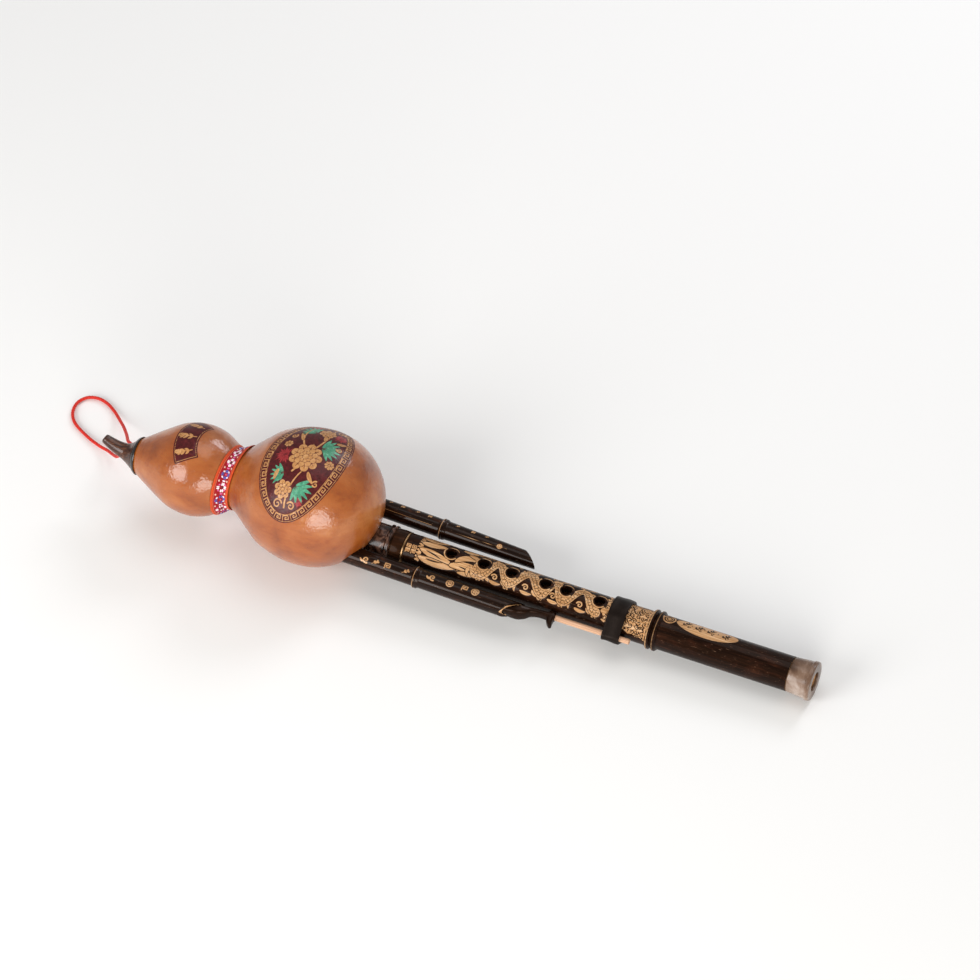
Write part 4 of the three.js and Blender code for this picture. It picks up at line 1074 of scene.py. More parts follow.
def flower(field, spots, centre, radius, petals, rings, outline, spin=0, vein=0.0):
    # rings of petals, the outer ring first, and a round eye
    for ring in range(rings):
        outer = radius * (1 - ring / (rings + 0.4))
        half = outer * math.sin(math.pi / petals) * 0.72
        for k in range(petals):
            a = math.radians(spin + 360 * (k + ring / 2) / petals)
            way = outer * np.array((math.cos(a), math.sin(a)))
            path = [centre + way * share for share in (0.35, 0.6, max(0.62, 1 - half / outer))]
            draw(field, spots, path, [half * 0.55, half * 0.9, half], outline)
            if vein and ring == 0:
                cut(field, spots, [centre + way * 0.45, centre + way * 0.82], vein)
    draw(field, spots, dot(centre), radius * 0.17, outline)


def chrysanthemum(field, spots, centre, radius, rays, width=0.55):
    for k in range(rays):
        reach = radius * (1 if k % 2 else 0.8)
        leaf(field, spots, centre, 360 * k / rays, reach, width, 14, 0.16)


def squareFret(field, spots, centre, size, width, hand=1):
    # one square spiral of a key pattern
    turns = [(-1, 1), (-1, -1), (1, -1), (1, 0.45), (-0.35, 0.45), (-0.35, -0.3), (0.35, -0.3)]
    draw(field, spots, np.array(centre) + size / 2 * np.array(turns) * (hand, 1), width)


def sprig(field, spots, start, heading, length, pairs, width, paint=draw):
    # a stalk with pairs of small leaves
    stalk = bentLine(start, heading, length, 20)
    paint(field, spots, stalk, width * 0.45)
    for k in range(pairs):
        at = stalk[int((k + 1) / (pairs + 0.6) * (len(stalk) - 1))]
        for side in (-1, 1):
            branch = bentLine(at, heading + side * 48, length * 0.36, -side * 30, 6)
            paint(field, spots, branch, leafWidths(width, 6))


# Painted panels of the gourd: an oval with a key border on the big bulb, a fan on the small one
panel = {
    "relief": 0.12, "skinDepth": 1.2, "bulbLimit": -46, "turnLimit": 1.5, "fanLimit": -55,
    "centre": (-0.0312, -0.0845, 0.9959), "halfWidth": 24.0, "halfLength": 42.2,
    "lean": (0.988, -0.156), "edgeLine": 0.75, "innerLine": 4.9, "lineWidth": 0.18,
    "keyLow": 1.55, "keyMiddle": 2.8, "keyHigh": 4.15, "keyPitch": 5.9, "keyWidth": 0.28,
    "key": [(0.04, 0), (0.04, 1), (0.76, 1), (0.76, 0.18), (0.32, 0.18), (0.32, 0.6), (0.52, 0.6)],
    "stems": [  # start, heading, length, bend
        ((1, -33), 100, 30, -45), ((-2, -12), 60, 22, 50), ((3, 7), 75, 26, 40),
        ((-4, 6), 130, 20, -50),
    ],
    "curls": [  # centre, radius, heading, turns
        ((-4, -32), 3.0, 20, 1.3), ((5, -31), 2.6, 160, -1.3), ((-6, 32), 3.0, 200, -1.3),
        ((6, 31.5), 2.6, 0, 1.3), ((0, 35), 1.9, 90, 1.2), ((14, -14), 2.0, 90, 1.2),
        ((-14.5, 12), 2.0, 60, -1.2), ((14.5, 14), 1.8, 200, 1.2),
    ],
    "leafFans": [  # start, heading, spread, length, leaves, half width
        ((4, -19), -25, 120, 11, 7, 1.15), ((6, 9), 20, 120, 11.5, 8, 1.15),
        ((-5, 20), 150, 110, 9.5, 7, 1.0), ((-6, -15), 195, 110, 9, 7, 0.95),
    ],
    "chrysanthemums": [  # centre, radius, rays
        ((-11, -4), 6.2, 18), ((9.5, 25), 5.4, 16), ((-9, 28.5), 3.6, 12), ((9, -27), 3.4, 12),
    ],
    "flowers": [  # centre, radius, petals, rings, vein
        ((1, -1), 9.6, 9, 3, 0.2), ((-3, -23.5), 5.6, 7, 2, 0.16), ((1, 24), 5.2, 7, 2, 0.16),
        ((15.5, 0.5), 2.9, 8, 1, 0), ((-13.5, 4.5), 2.6, 7, 1, 0),
    ],
    "leaves": [  # start, heading, length
        ((7, -9), -60, 8), ((-7.5, 9.5), 110, 8), ((-10, -13), 250, 7), ((4, 15), 100, 6),
        ((10.5, 18), 20, 6),
    ],
    "fanApex": (-43.4, -1.5), "fanInner": 25.2, "fanOuter": 39.4, "fanHalfAngle": 30,
    "fanLine": 0.9, "fanLineWidth": 0.16,
    "fanSprigs": [(-19, 8.5), (0, 9.5), (19, 8.5)],  # angle, height
}
skin = corners(gourd, gourdPlace)
outer = np.interp(skin[:, 0], lineX, lineRadius)
gourdSkin = np.hypot(skin[:, 1], skin[:, 2]) > outer - panel["skinDepth"]

# the oval's layout: distances over the bulb from the panel's centre, turned to its lean
upright = np.array(panel["centre"]) / np.linalg.norm(panel["centre"])
sideways = np.array((1, 0, 0)) - upright * upright[0]
sideways /= np.linalg.norm(sideways)
forwards = np.cross(upright, sideways)
unit = skin / np.linalg.norm(skin, axis=1)[:, None]
turnAngle = np.arccos(np.clip(unit @ upright, -1, 1))
flat = np.c_[unit @ sideways, unit @ forwards]
distance = gourdShape["bulbRadius"] * turnAngle
flat *= (distance / np.maximum(np.linalg.norm(flat, axis=1), 1e-9))[:, None]
leanX, leanY = panel["lean"]
oval = np.c_[flat @ (leanX, leanY), flat @ (-leanY, leanX)]
bulbSkin = gourdSkin & (skin[:, 0] > panel["bulbLimit"]) & (turnAngle < panel["turnLimit"])
oval[~bulbSkin] = offChart

# how far each spot lies inside the oval's edge
axes = np.array((panel["halfWidth"], panel["halfLength"]))
share = np.linalg.norm(oval / axes, axis=1)
steepness = np.linalg.norm(oval / axes ** 2, axis=1) / np.maximum(share, 1e-6)
depth = (1 - share) / np.maximum(steepness, 0.01)
ground, figure, green, red = (np.full(len(skin), emptyField) for _ in range(4))
ground[bulbSkin] = limited(depth)[bulbSkin]
for line in ("edgeLine", "innerLine"):
    drawn = np.maximum(figure, panel["lineWidth"] - abs(depth - panel[line]))
    figure[bulbSkin] = drawn[bulbSkin]


def ovalPoint(t, inset):
    # a point inside the panel's edge, on its normal
    unitCircle = np.array((math.cos(t), math.sin(t)))
    out = unitCircle / axes
    return unitCircle * axes - inset * out / np.linalg.norm(out)


ovalTurn = np.linspace(0, 2 * math.pi, 1441)
ovalRun = runAlong([ovalPoint(t, panel["keyMiddle"]) for t in ovalTurn])
keyCount = round(ovalRun[-1] / panel["keyPitch"])
for k in range(keyCount):
    hookPath = []
    for along, rise in panel["key"]:
        t = np.interp((k + along) / keyCount * ovalRun[-1], ovalRun, ovalTurn)
        hookPath.append(ovalPoint(t, np.interp(rise, (0, 1), (panel["keyLow"], panel["keyHigh"]))))
    draw(figure, oval, hookPath, panel["keyWidth"])

for stalk in panel["stems"]:
    draw(figure, oval, bentLine(*stalk, 20), (0.55, 0.3))
for scroll in panel["curls"]:
    draw(figure, oval, curl(*scroll), (0.5, 0.28), 0.2)
for spray in panel["leafFans"]:
    leafFan(green, oval, *spray)
for bloom in panel["chrysanthemums"]:
    chrysanthemum(red, oval, *bloom)
for centre, radius, petals, rings, vein in panel["flowers"]:
    flower(figure, oval, np.array(centre, float), radius, petals, rings, 0.3, 12, vein)
    for other in (green, red):
        cut(other, oval, dot(centre), radius + 0.3)
for single in panel["leaves"]:
    leaf(figure, oval, *single, 1.2, 35, 0.25, 0.14)
for other in (green, red):
    other[depth < panel["innerLine"] + 0.4] = emptyField
figure[bulbSkin & (depth < 0.3)] = emptyField

onFan = gourdSkin & (skin[:, 0] < panel["fanLimit"])
fan = unrolled(skin, gourdShape["smallRadius"], onFan)
away = fan - panel["fanApex"]
reach = np.hypot(away[:, 0], away[:, 1])
opening = np.arctan2(away[:, 1], -away[:, 0])
fanDepth = np.minimum.reduce([
    reach - panel["fanInner"], panel["fanOuter"] - reach,
    (math.radians(panel["fanHalfAngle"]) - abs(opening)) * reach])
ground = np.maximum(ground, limited(fanDepth))
fanSkin = fanDepth > -1
fanLine = panel["fanLineWidth"] - abs(fanDepth - panel["fanLine"])
figure[fanSkin] = np.maximum(figure, fanLine)[fanSkin]
fanMiddle = (panel["fanInner"] + panel["fanOuter"]) / 2
for angle, tall in panel["fanSprigs"]:
    a = math.radians(angle)
    out = np.array((-math.cos(a), math.sin(a)))
    foot = panel["fanApex"] + out * (fanMiddle - tall / 2)
    sprig(figure, fan, foot, 180 - angle - 8, tall, 3, 0.72)
    flower(figure, fan, foot + out * (tall + 0.4), 1.5, 5, 1, 0.15)
for name, values in {"ground": ground, "figure": figure, "leaf": green, "accent": red}.items():
    writeField(gourd, name, values)
inks = np.clip(figure / 0.2 + 0.5, 0, 1) * np.clip(ground / 0.2, 0, 1)
sink(gourd, skin, gourdPlace, inks * panel["relief"])
print("stage: painted panels")

# Carving of the main pipe, in (x, round): round is the way round the skin towards the near side
carving = {
    "depth": 0.28, "outline": 0.38, "seed": 11,
    "startLine": [(66.4, -9.6), (66.0, -3), (66.4, 4), (66.2, 10.2)], "fringe": 11,
    "leaves": [  # start, heading, length, half width, bend
        ((65.8, -8.4), 2, 27, 1.3, -6), ((65.5, -5.0), 0, 19, 2.0, -34),
        ((65.2, -0.8), -2, 16.5, 1.9, -8), ((65.2, 3.2), 8, 27, 2.4, 12),
        ((65.5, 8.0), 10, 24, 2.2, -18), ((84.5, 7.6), -16, 24, 2.5, 34),
        ((87.5, 4.9), -52, 17, 1.8, 84), ((89, -5.4), 6, 13, 1.6, -34),
        ((93.5, -2.6), 6, 10, 1.2, 20), ((79.5, -8.6), 0, 17, 1.3, -4),
        ((90, 10.2), -4, 15, 1.3, -10),
    ],
    "veins": [  # start, heading, length, bend
        ((69, 3.4), 8, 12, 14), ((70, 7.9), 6, 11, -16), ((69, -5), -4, 9, -24),
        ((90, 6.6), 0, 11, 30),
    ],
    "bandStart": 100.5, "bandSteps": 16, "bandWidth": 2.7, "bandMiddle": 2.3, "bandSwing": 5.2,
    "bandLeaves": [  # x from halfway between two holes, round, heading, length, half width, bend
        (-3.4, -5.6, -55, 6.5, 1.0, 60), (1.5, -6.2, -20, 8, 1.0, -30),
        (-2.6, 8.6, 25, 7.5, 1.0, -50), (4.2, 6.4, 60, 6, 0.95, -70),
        (-5.4, 4.6, 120, 6, 0.9, -60),
    ],
    "denseFrom": 177.5, "denseEnd": 205.2, "far": -10.2, "near": 11.0,
    "denseCurl": 1.5, "denseCurls": 9, "denseSpacing": (3.1, 2.9), "denseJitter": 0.4,
    "medallion": (201.4, -4.2), "collar": 4.9, "rim": 4.25, "rimWidth": 0.34,
    "ringMark": (214.4, -3.6), "ringRadius": 3.4,
    "lens": (237, -3.6), "lensLong": 18.2, "lensWide": 5.9,
}
skin = corners(pipe, flutePlace)
skinRadius = np.hypot(skin[:, 1], skin[:, 2])
atSkin = skinRadius > 9.85
chart = unrolled(skin, pipeRadius, atSkin)
carve = np.full(len(skin), emptyField)
chance = random.Random(carving["seed"])
draw(carve, chart, carving["startLine"], 0.8)
for k in range(carving["fringe"]):
    leaf(carve, chart, (66.6, -9 + k * 1.9), 180, 2.6, 0.7, 0, 0)
for single in carving["leaves"]:
    leaf(carve, chart, *single, 0.55)
for vein in carving["veins"]:
    cut(carve, chart, bentLine(*vein), leafWidths(0.45))

# a scaled, winding band that passes below each finger hole and rises between them
bends, steps = [carving["bandStart"], *mainPipe["fingerHoles"][1:]], carving["bandSteps"]
bandX = [a + (b - a) * k / steps for a, b in zip(bends, bends[1:]) for k in range(steps)]
bandX.append(bends[-1])
bandWave = np.cos(2 * math.pi * np.arange(len(bandX)) / steps)
bandPath = np.c_[bandX, carving["bandMiddle"] + carving["bandSwing"] * bandWave]
for a, b in zip(bends, bends[1:]):
    middle = (a + b) / 2
    for x, y, *rest in carving["bandLeaves"]:
        leaf(carve, chart, (middle + x, y), *rest, carving["outline"])
    draw(carve, chart, curl((middle, 6.2), 1.9, 200, 1.2), (0.42, 0.26), 0.2)
    draw(carve, chart, curl((b - 1, 10.0), 1.5, 20, -1.1), (0.4, 0.24), 0.2)
    draw(carve, chart, curl((a + 3.4, -8.2), 1.7, 80, 1.1), (0.42, 0.24), 0.2)
swelling = 0.86 + 0.14 * np.cos(np.linspace(0, 8 * math.pi, len(bandPath)))
bandWidths = carving["bandWidth"] * swelling
draw(carve, chart, bandPath, bandWidths, carving["outline"])
nearBand, inside = nearStroke(chart, bandPath, bandWidths)
scaled = np.zeros(len(skin))
scaled[nearBand] = np.clip((inside - 0.45) / 0.2, 0, 1)
for k in range(2, len(bandPath) - 2, 3):
    ahead = bandPath[k + 1] - bandPath[k]
    heading = math.degrees(math.atan2(ahead[1], ahead[0]))
    off = np.array((ahead[1], -ahead[0])) / np.linalg.norm(ahead) * (bandWidths[k] - 0.1)
    leaf(carve, chart, bandPath[k] + off, heading - 50, 1.9, 0.45, -20, 0)

# the dense end: a pale ground with small curls cut into it
chartX, chartY = chart[:, 0], chart[:, 1]
nearEdge = carving["near"] + 4.2 * np.clip((chartX - 184) / 20, 0, 1) + 0.5 * np.sin(chartX * 1.3)
block = np.minimum.reduce([
    chartX - carving["denseFrom"] - 1.2 * np.sin(chartY * 0.9), carving["denseEnd"] - chartX,
    chartY - carving["far"] - 0.5 * np.sin(chartX * 1.1), nearEdge - chartY])
carve[atSkin] = np.maximum(carve, limited(block))[atSkin]
jitter, (stepX, stepY) = carving["denseJitter"], carving["denseSpacing"]
for row in range(carving["denseCurls"]):
    for column in range(carving["denseCurls"]):
        x, y = carving["denseFrom"] + 2 + column * stepX + (row % 2) * 1.5, -9 + row * stepY
        centre = (x + chance.uniform(-jitter, jitter), y + chance.uniform(-jitter, jitter))
        way = chance.choice((-1, 1))
        heading, turns = chance.uniform(0, 360), way * chance.uniform(0.9, 1.3)
        cut(carve, chart, curl(centre, carving["denseCurl"], heading, turns), (0.3, 0.16))
        cut(carve, chart, bentLine(centre, chance.uniform(0, 360), 3.0, 60, 6), 0.17)
medallion = np.array(carving["medallion"])
cut(carve, chart, dot(medallion), 3.5)
draw(carve, chart, ringPath(medallion, 2.9), 0.3)
flower(carve, chart, medallion, 2.2, 7, 1, 0.2)
for x in mainPipe["fingerHoles"]:
    cut(carve, chart, dot((x, 0)), carving["collar"])
    scaled[np.hypot(chartX - x, chartY) < carving["collar"]] = 0
    rim = ringPath((x, 0), carving["rim"])
    draw(carve, chart, rim[3:17], carving["rimWidth"])
    draw(carve, chart, rim[17:27], leafWidths(carving["rimWidth"], 10))

# short frets by the sleeve, then a ring mark and a lens-shaped field beyond the node
for y, hand in ((3.9, -1), (6.6, 1)):
    for x in (59.0, 62.4):
        squareFret(carve, chart, (x, y), 2.3, 0.26, hand)
ringMark, ringRadius = np.array(carving["ringMark"]), carving["ringRadius"]
draw(carve, chart, ringPath(ringMark, ringRadius), 0.36)
draw(carve, chart, ringPath(ringMark, ringRadius * 0.6), 0.26)
flower(carve, chart, ringMark, ringRadius * 0.36, 5, 1, 0.1)
lensX, lensY = carving["lens"]
lensShare = np.hypot((chartX - lensX) / carving["lensLong"], (chartY - lensY) / carving["lensWide"])
lensField = limited((1 - lensShare) * carving["lensWide"] * 0.9)
carve[atSkin] = np.maximum(carve, lensField)[atSkin]
for k, x in enumerate((224.5, 231.5, 239.0, 247.5)):
    sprig(carve, chart, (x - 2.2, lensY + 2.6), -58 + 10 * (k % 2), 6.6, 3, 0.44, cut)
    cut(carve, chart, curl((x + 1.9, lensY + 1.6), 1.1, 40 * k, 1.1), (0.26, 0.16))
for x in (228.1, 235.4, 243.4):
    cut(carve, chart, [(x, lensY - 0.4), (x, lensY + 0.4)], 0.24)
draw(carve, chart, [(203.9, -10.5), (203.9, 14)], 0.3)

# the pattern's own coordinates along the scaled band: distance run, and distance to one side
bandRun = runAlong(bandPath)
scaleSpot = np.zeros((len(skin), 3))
for i in nearBand:
    nearest = int(np.argmin(np.hypot(*(bandPath - chart[i]).T)))
    k = min(nearest, len(bandPath) - 2)
    ahead = (bandPath[k + 1] - bandPath[k]) / np.linalg.norm(bandPath[k + 1] - bandPath[k])
    offset = chart[i] - bandPath[k]
    scaleSpot[i, :2] = (bandRun[k] + offset @ ahead, offset @ (-ahead[1], ahead[0]))

# bare wood: the turned ends, and worn lines on the crests of the node; the walls of the holes keep the dark skin
# colour, which darkens the holes
sleeveLimit, ferruleLimit = mainPipe["sleeveEnd"] + 0.2, mainPipe["ferruleStart"] - 0.2
turnedEnds = (skin[:, 0] < sleeveLimit) | (skin[:, 0] > ferruleLimit)
bare = np.where(turnedEnds & (skinRadius < 9.9), np.minimum(9.8 - skinRadius, 3), -1)
for crest in nodeCrests:
    worn = 0.2 - np.abs(skin[:, 0] - (crest - 0.2))
    bare = np.maximum(bare, np.where(skinRadius > pipeRadius + 1, worn, -1))
fields = {"scaleSpot": scaleSpot, "scaled": scaled, "carve": carve, "bare": bare}
for name, values in fields.items():
    writeField(pipe, name, values)
sink(pipe, skin, flutePlace, carving["depth"] * np.clip(carve / 0.3 + 0.3, 0, 1) * atSkin)

# Small ornaments of the drones, in (x, round) of each drone
droneMarks = {
    "near": [(48, 3.2, "curl"), (53.5, 3.0, "sprig"), (61, 2.8, "fret"), (72, 2.4, "sprig"),
             (88, 0.4, "curl"), (98.5, 0.3, "ring"), (107.6, 0.2, "fret"), (114, 0.2, "ring")],
    "far": [(44, -1.8, "sprig"), (52, -1.6, "fret"), (61, -1.6, "sprig"), (69, -1.6, "fret"),
            (86, -1.4, "sprig"), (96, -1.4, "fret"), (104, -1.4, "sprig"), (113.5, 1.6, "ring")],
}
for name, drone in drones.items():
    piece = drone["piece"]
    skin = corners(piece, drone["place"])
    skinRadius = np.hypot(skin[:, 1], skin[:, 2])
    outer = np.interp(skin[:, 0], (0, droneShape["node"], drone["length"]),
                      (droneShape["radius"], droneShape["radius"], drone["tipRadius"]))
    chart = unrolled(skin, outer, skinRadius > outer - 0.12)
    carve = np.full(len(skin), emptyField)
    size = 1 if name == "near" else 0.62
    for x, y, kind in droneMarks[name]:
        if kind == "curl":
            draw(carve, chart, curl((x, y), 1.9 * size, 60, 1.2), (0.42, 0.3))
            leaf(carve, chart, (x - 1.5, y + 1.5), 200, 3.0, 0.6, 40, 0)
        elif kind == "sprig":
            start = (x - 1.7 * size, y + 1.2 * size)
            sprig(carve, chart, start, -40, 4.2 * size, 2, 0.5 * size)
        elif kind == "fret":
            squareFret(carve, chart, (x, y), 3.0 * size, 0.3 * max(size, 0.8))
        else:
            draw(carve, chart, ringPath((x, y), 2.1 * size), 0.28)
            flower(carve, chart, np.array((x, y)), 1.5 * size, 6, 1, 0.16)
    if name == "far":
        draw(carve, chart, bentLine((38, 3.5), 0, 34, 0), 0.16)
        draw(carve, chart, bentLine((84, 3.3), -1, 34, -4), 0.14)
    bare = np.where(skinRadius < outer - 0.12, np.minimum(outer - 0.15 - skinRadius, 3), -1)
    worn = 0.16 - np.abs(skin[:, 0] - (droneShape["node"] - 0.9))
    bare = np.maximum(bare, np.where(skinRadius > outer + 0.5, worn, -1))
    writeField(piece, "carve", carve)
    writeField(piece, "bare", bare)
print("stage: carving")

# Stopper of the near drone: a plug and slanted head, a strip beside the pipe, and a hook on the rod
stopper = {
    "strip": [  # x, y, z, half width across, half height
        (125.6, -18.8, 0.7, 2.9, 3.2), (128.6, -18.5, 0.8, 3.4, 4.0), (132, -17.9, 0.8, 3.5, 4.4),
        (135.2, -16.9, 0.6, 2.9, 3.9), (138.2, -15.5, 0.5, 1.95, 3.1),
        (142.5, -14.6, 0.5, 1.5, 2.75), (146.5, -14.3, 0.4, 1.6, 2.7),
        (149.5, -14.1, 0.2, 1.9, 2.7), (152.1, -14.0, 0, 1.7, 2.5),
    ],
    "hook": [  # x, y, z, half length along, half height
        (150.1, -11.2, 0, 2.1, 2.3), (150.1, -13.5, 0, 2.2, 2.7), (150.2, -16.0, 0, 2.15, 2.7),
        (150.8, -18.2, 0, 1.7, 2.5), (151.8, -20.1, 0, 1.0, 2.0),
    ],
    "caps": [(0.5, 0.72), (0.3, 0.9), (0, 1)],  # how far beyond an end, share of its size
    "headFromMouth": 4.2, "mouthGap": 2.0,
    "plug": [(-14, 0), (-14, 2.4, 0.5), (0, 3.1), (6, 3.1), (6, 0)],  # from the head's start
    "head": [(-1, 0), (-1, 3.45), (4, 3.45, 0.8), (6.5, 2.4, 1), (7, 0)],
}
rod = {"y": -13.5, "radius": 1.6, "start": 149.7, "end": 197.2,
       "socket": [(149.4, 0), (149.4, 1.9), (156, 1.9), (156, 0)]}


def roundedRing(half, tall, count=28, power=3.2):
    # a rounded rectangle
    return [(half * math.copysign(abs(x) ** (2 / power), x),
             tall * math.copysign(abs(y) ** (2 / power), y)) for x, y in circleRing(1, count)]


def loftAlong(name, stations, steps=7):
    # a stopper shape through stations of (x, y, z, half width, half height), with rounded ends
    values = smoothPath(stations, steps)
    ends = []
    for end, beside in ((values[0], values[1]), (values[-1], values[-2])):
        away = (end - beside)[:3] / np.linalg.norm((end - beside)[:3])
        ends.append([np.r_[end[:3] + away * push, end[3:] * share]
                     for push, share in stopper["caps"]])
    rows = [*ends[0], *values[1:-1], *ends[1][::-1]]
    rings = [roundedRing(half, tall) for *_, half, tall in rows]
    return sweep(name, [tuple(row[:3]) for row in rows], rings, flutePlace, stainedWood)


nearPlace, nearLength = drones["near"]["place"], drones["near"]["length"]
stopperPiece = loftAlong("droneStopper", stopper["strip"])
hook = loftAlong("hook", stopper["hook"])
headStart = nearLength - droneShape["slant"] + stopper["headFromMouth"]
plug, head = (
    turned(name, roundedOutline([(headStart + x, *rest) for x, *rest in stopper[name]]),
           evenAngles(count), nearPlace, stainedWood)
    for name, count in (("plug", 40), ("head", 56)))
behindMouth = (nearLength - droneShape["slant"] / 2 + stopper["mouthGap"], 0, 0)
for piece in (head, stopperPiece):
    combine(piece, [blockBit("mouthSide", (-60, -40, -40), (0, 40, 40), nearPlace, -slantAngle,
                             behindMouth)])
combine(stopperPiece, [head, plug, hook], "UNION", 38)
rodLine = flutePlace @ shift(0, rod["y"], 0)
rodSocket = turned("rodSocket", rod["socket"], evenAngles(40), rodLine, stainedWood)
combine(stopperPiece, [rodSocket], smoothAngle=38)
fluteParts.append((stopperPiece, "drone_stop_body", "drone_stopper", "stopper_wood"))

rodOutline = roundedOutline([(rod["start"], 0), (rod["start"], rod["radius"], 0.3),
                             (rod["end"], rod["radius"], 0.5), (rod["end"], 0)])
rodPiece = turned("stopperRod", rodOutline, evenAngles(36), rodLine, rodBamboo)
fluteParts.append((rodPiece, "drone_stop_body", "stopper_rod", "rod_bamboo"))

# Guide band: a black rubber strap round the pipe and the rod, its outside a little uneven
band = {"middle": 186.389, "width": 10.5, "gap": 0.3, "thickness": 1.5, "edge": 0.45, "wave": 0.12}
pipeReach, rodReach = pipeRadius + band["gap"], rod["radius"] + band["gap"]
tangent = math.acos((pipeReach - rodReach) / -rod["y"])
loop = [(0, pipeReach, a) for a in np.linspace(math.pi + tangent, 3 * math.pi - tangent, 96)]
loop += [(rod["y"], rodReach, a) for a in np.linspace(math.pi - tangent, math.pi + tangent, 28)]
thick, edge = band["thickness"], band["edge"]
half = band["width"] / 2 - edge
section = []
for middle, lift, reach, first in (
    (half, thick - edge, edge, 0), (-half, thick - edge, edge, 90),
    (-half, edge / 2, edge / 2, 180), (half, edge / 2, edge / 2, 270),
):
    for a in np.radians(first + np.linspace(0, 90, 5)):
        section.append((middle + reach * math.cos(a), lift + reach * math.sin(a)))
    if first == 0:
        section += [(half * (1 - k / 4), thick + band["wave"] * math.sin(k / 4 * math.pi))
                    for k in range(1, 8)]
points = []
for y, radius, a in loop:
    for x, lift in section:
        wave = band["wave"] * math.sin(3 * a + x * 0.4) if lift > thick * 0.6 else 0
        r = radius + lift + wave
        points.append((band["middle"] + x, y + r * math.cos(a), r * math.sin(a)))
guideBand = meshObject("guideBand", points, ringFaces(len(loop), len(section), True), flutePlace)
outward(guideBand)
guideBand.data.materials.append(bandRubber)
fluteParts.append((guideBand, "main_pipe_body", "guide_band", "band_rubber"))
print("stage: stopper, rod and band")

# Waist ribbon: a strip of woven ribbon round the gourd's waist
ribbon = {
    "width": 9.6, "middle": -49.4, "lift": 0.55, "thickness": 0.5, "leanSide": 0.1228,
    "leanUp": 0.0828, "around": 220, "across": 12, "edgeDrop": 0.25, "girthRadius": 19.5,
}


def gourdPoint(x, angle, lift):
    # a point over the gourd's skin, and the way out from it
    radius = np.interp(x, lineX, lineRadius)
    slope = np.interp(x + 0.5, lineX, lineRadius) - np.interp(x - 0.5, lineX, lineRadius)
    out = np.array((-slope, -math.sin(angle), math.cos(angle)))
    out /= np.linalg.norm(out)
    return np.array((x, -radius * math.sin(angle), radius * math.cos(angle))) + out * lift, out


def ribbonMiddle(angle):
    # where the leaning ribbon's middle is along the gourd, at an angle round it
    lean = ribbon["leanUp"] * np.cos(angle) - ribbon["leanSide"] * np.sin(angle)
    return ribbon["middle"] + gourdShape["waistRadius"] * lean


def ribbonPoint(angle, across, lift):
    # across is in millimetres from the ribbon's middle
    return gourdPoint(ribbonMiddle(angle) + across, angle, lift)


points = []
across = np.linspace(-ribbon["width"] / 2, ribbon["width"] / 2, ribbon["across"] + 1)
topLift = np.full(len(across), ribbon["lift"] + ribbon["thickness"])
topLift[[0, -1]] -= ribbon["edgeDrop"]
for a in evenAngles(ribbon["around"])[:-1]:
    points += [ribbonPoint(a, c, lift)[0] for c, lift in zip(across, topLift)]
    points += [ribbonPoint(a, c, ribbon["lift"])[0] for c in across[::-1]]
ribbonFaces = ringFaces(ribbon["around"], 2 * len(across), closed=True)
ribbonPiece = meshObject("waistRibbon", points, ribbonFaces, gourdPlace)
outward(ribbonPiece)
ribbonPiece.data.materials.append(redWeave)
spots = corners(ribbonPiece, gourdPlace)
ribbonTurn = np.arctan2(-spots[:, 1], spots[:, 2])
weaveSpot = (ribbonTurn * ribbon["girthRadius"], spots[:, 0] - ribbonMiddle(ribbonTurn))
writeField(ribbonPiece, "weave", np.c_[(*weaveSpot, np.zeros(len(spots)))])
fluteParts.append((ribbonPiece, "gourd_body", "waist_ribbon", "ribbon"))


# Embroidered flowers: one stitch set on each point by Geometry Nodes
def stitchTree():
    tree, given = newTree("stitches", {"Points": "Object", "Stitch Radius": "Float"})
    points = addNode(tree, "ObjectInfo", {}, {"Object": given["Points"]}).outputs["Geometry"]
    stitch = addNode(tree, "MeshUVSphere", {"Segments": 8, "Rings": 6},
                     {"Radius": given["Stitch Radius"]})
    turn, size = (addNode(tree, "InputNamedAttribute", {"data_type": "FLOAT_VECTOR", "Name": name})
                  for name in ("turn", "size"))
    rotation = addNode(tree, "EulerToRotation", {}, {0: turn})
    laid = addNode(tree, "InstanceOnPoints", {}, {
        "Points": points, "Instance": stitch, "Rotation": rotation, "Scale": size})
    return endTree(tree, given, laid)


flowers = {
    "count": 15, "first": 12, "stitchWidth": 1.0, "stitchHeight": 0.34, "stitchLift": 0.05,
    "petal": 2.15, "joint": "#f3c9b4",
    "pale": ("#fbf0f3", "#e0609c", "#4d1030"),  # upright petals, slanted ones, heart
    "blue": ("#5f55a6", "#efe6f4", "#d84a6a"),
}
stitches = []  # angle round the gourd, millimetres across, heading, length, colour
for k in range(flowers["count"]):
    middle = math.radians(flowers["first"]) + 2 * math.pi * k / flowers["count"]
    outer, inner, heart = flowers["blue" if k % 2 else "pale"]
    for petal in range(8):
        heading = petal * math.pi / 4
        reach, length, colour, offsets = (0.95, 2.0, outer, (-0.5, 0.5))
        if petal % 2:
            reach, length, colour, offsets = (1.12, 1.5, inner, (0,))
        for offset in offsets:
            spot = Vector((flowers["petal"] * reach, offset))
            spot.rotate(Matrix.Rotation(heading, 2))
            along = middle + spot.x / ribbon["girthRadius"]
            stitches.append((along, spot.y, heading, length, colour))
    between = middle + math.pi / flowers["count"]
    stitches += [(middle, 0, heading, 1.3, heart) for heading in (math.pi / 4, -math.pi / 4)]
    stitches += [(between, across, 0, 1.3, flowers["joint"]) for across in (-2.5, 2.5)]
    stitches.append((between, 0, math.pi / 2, 2.2, inner))
points, turns, sizes, colours = [], [], [], []
lift = ribbon["lift"] + ribbon["thickness"] + flowers["stitchLift"]
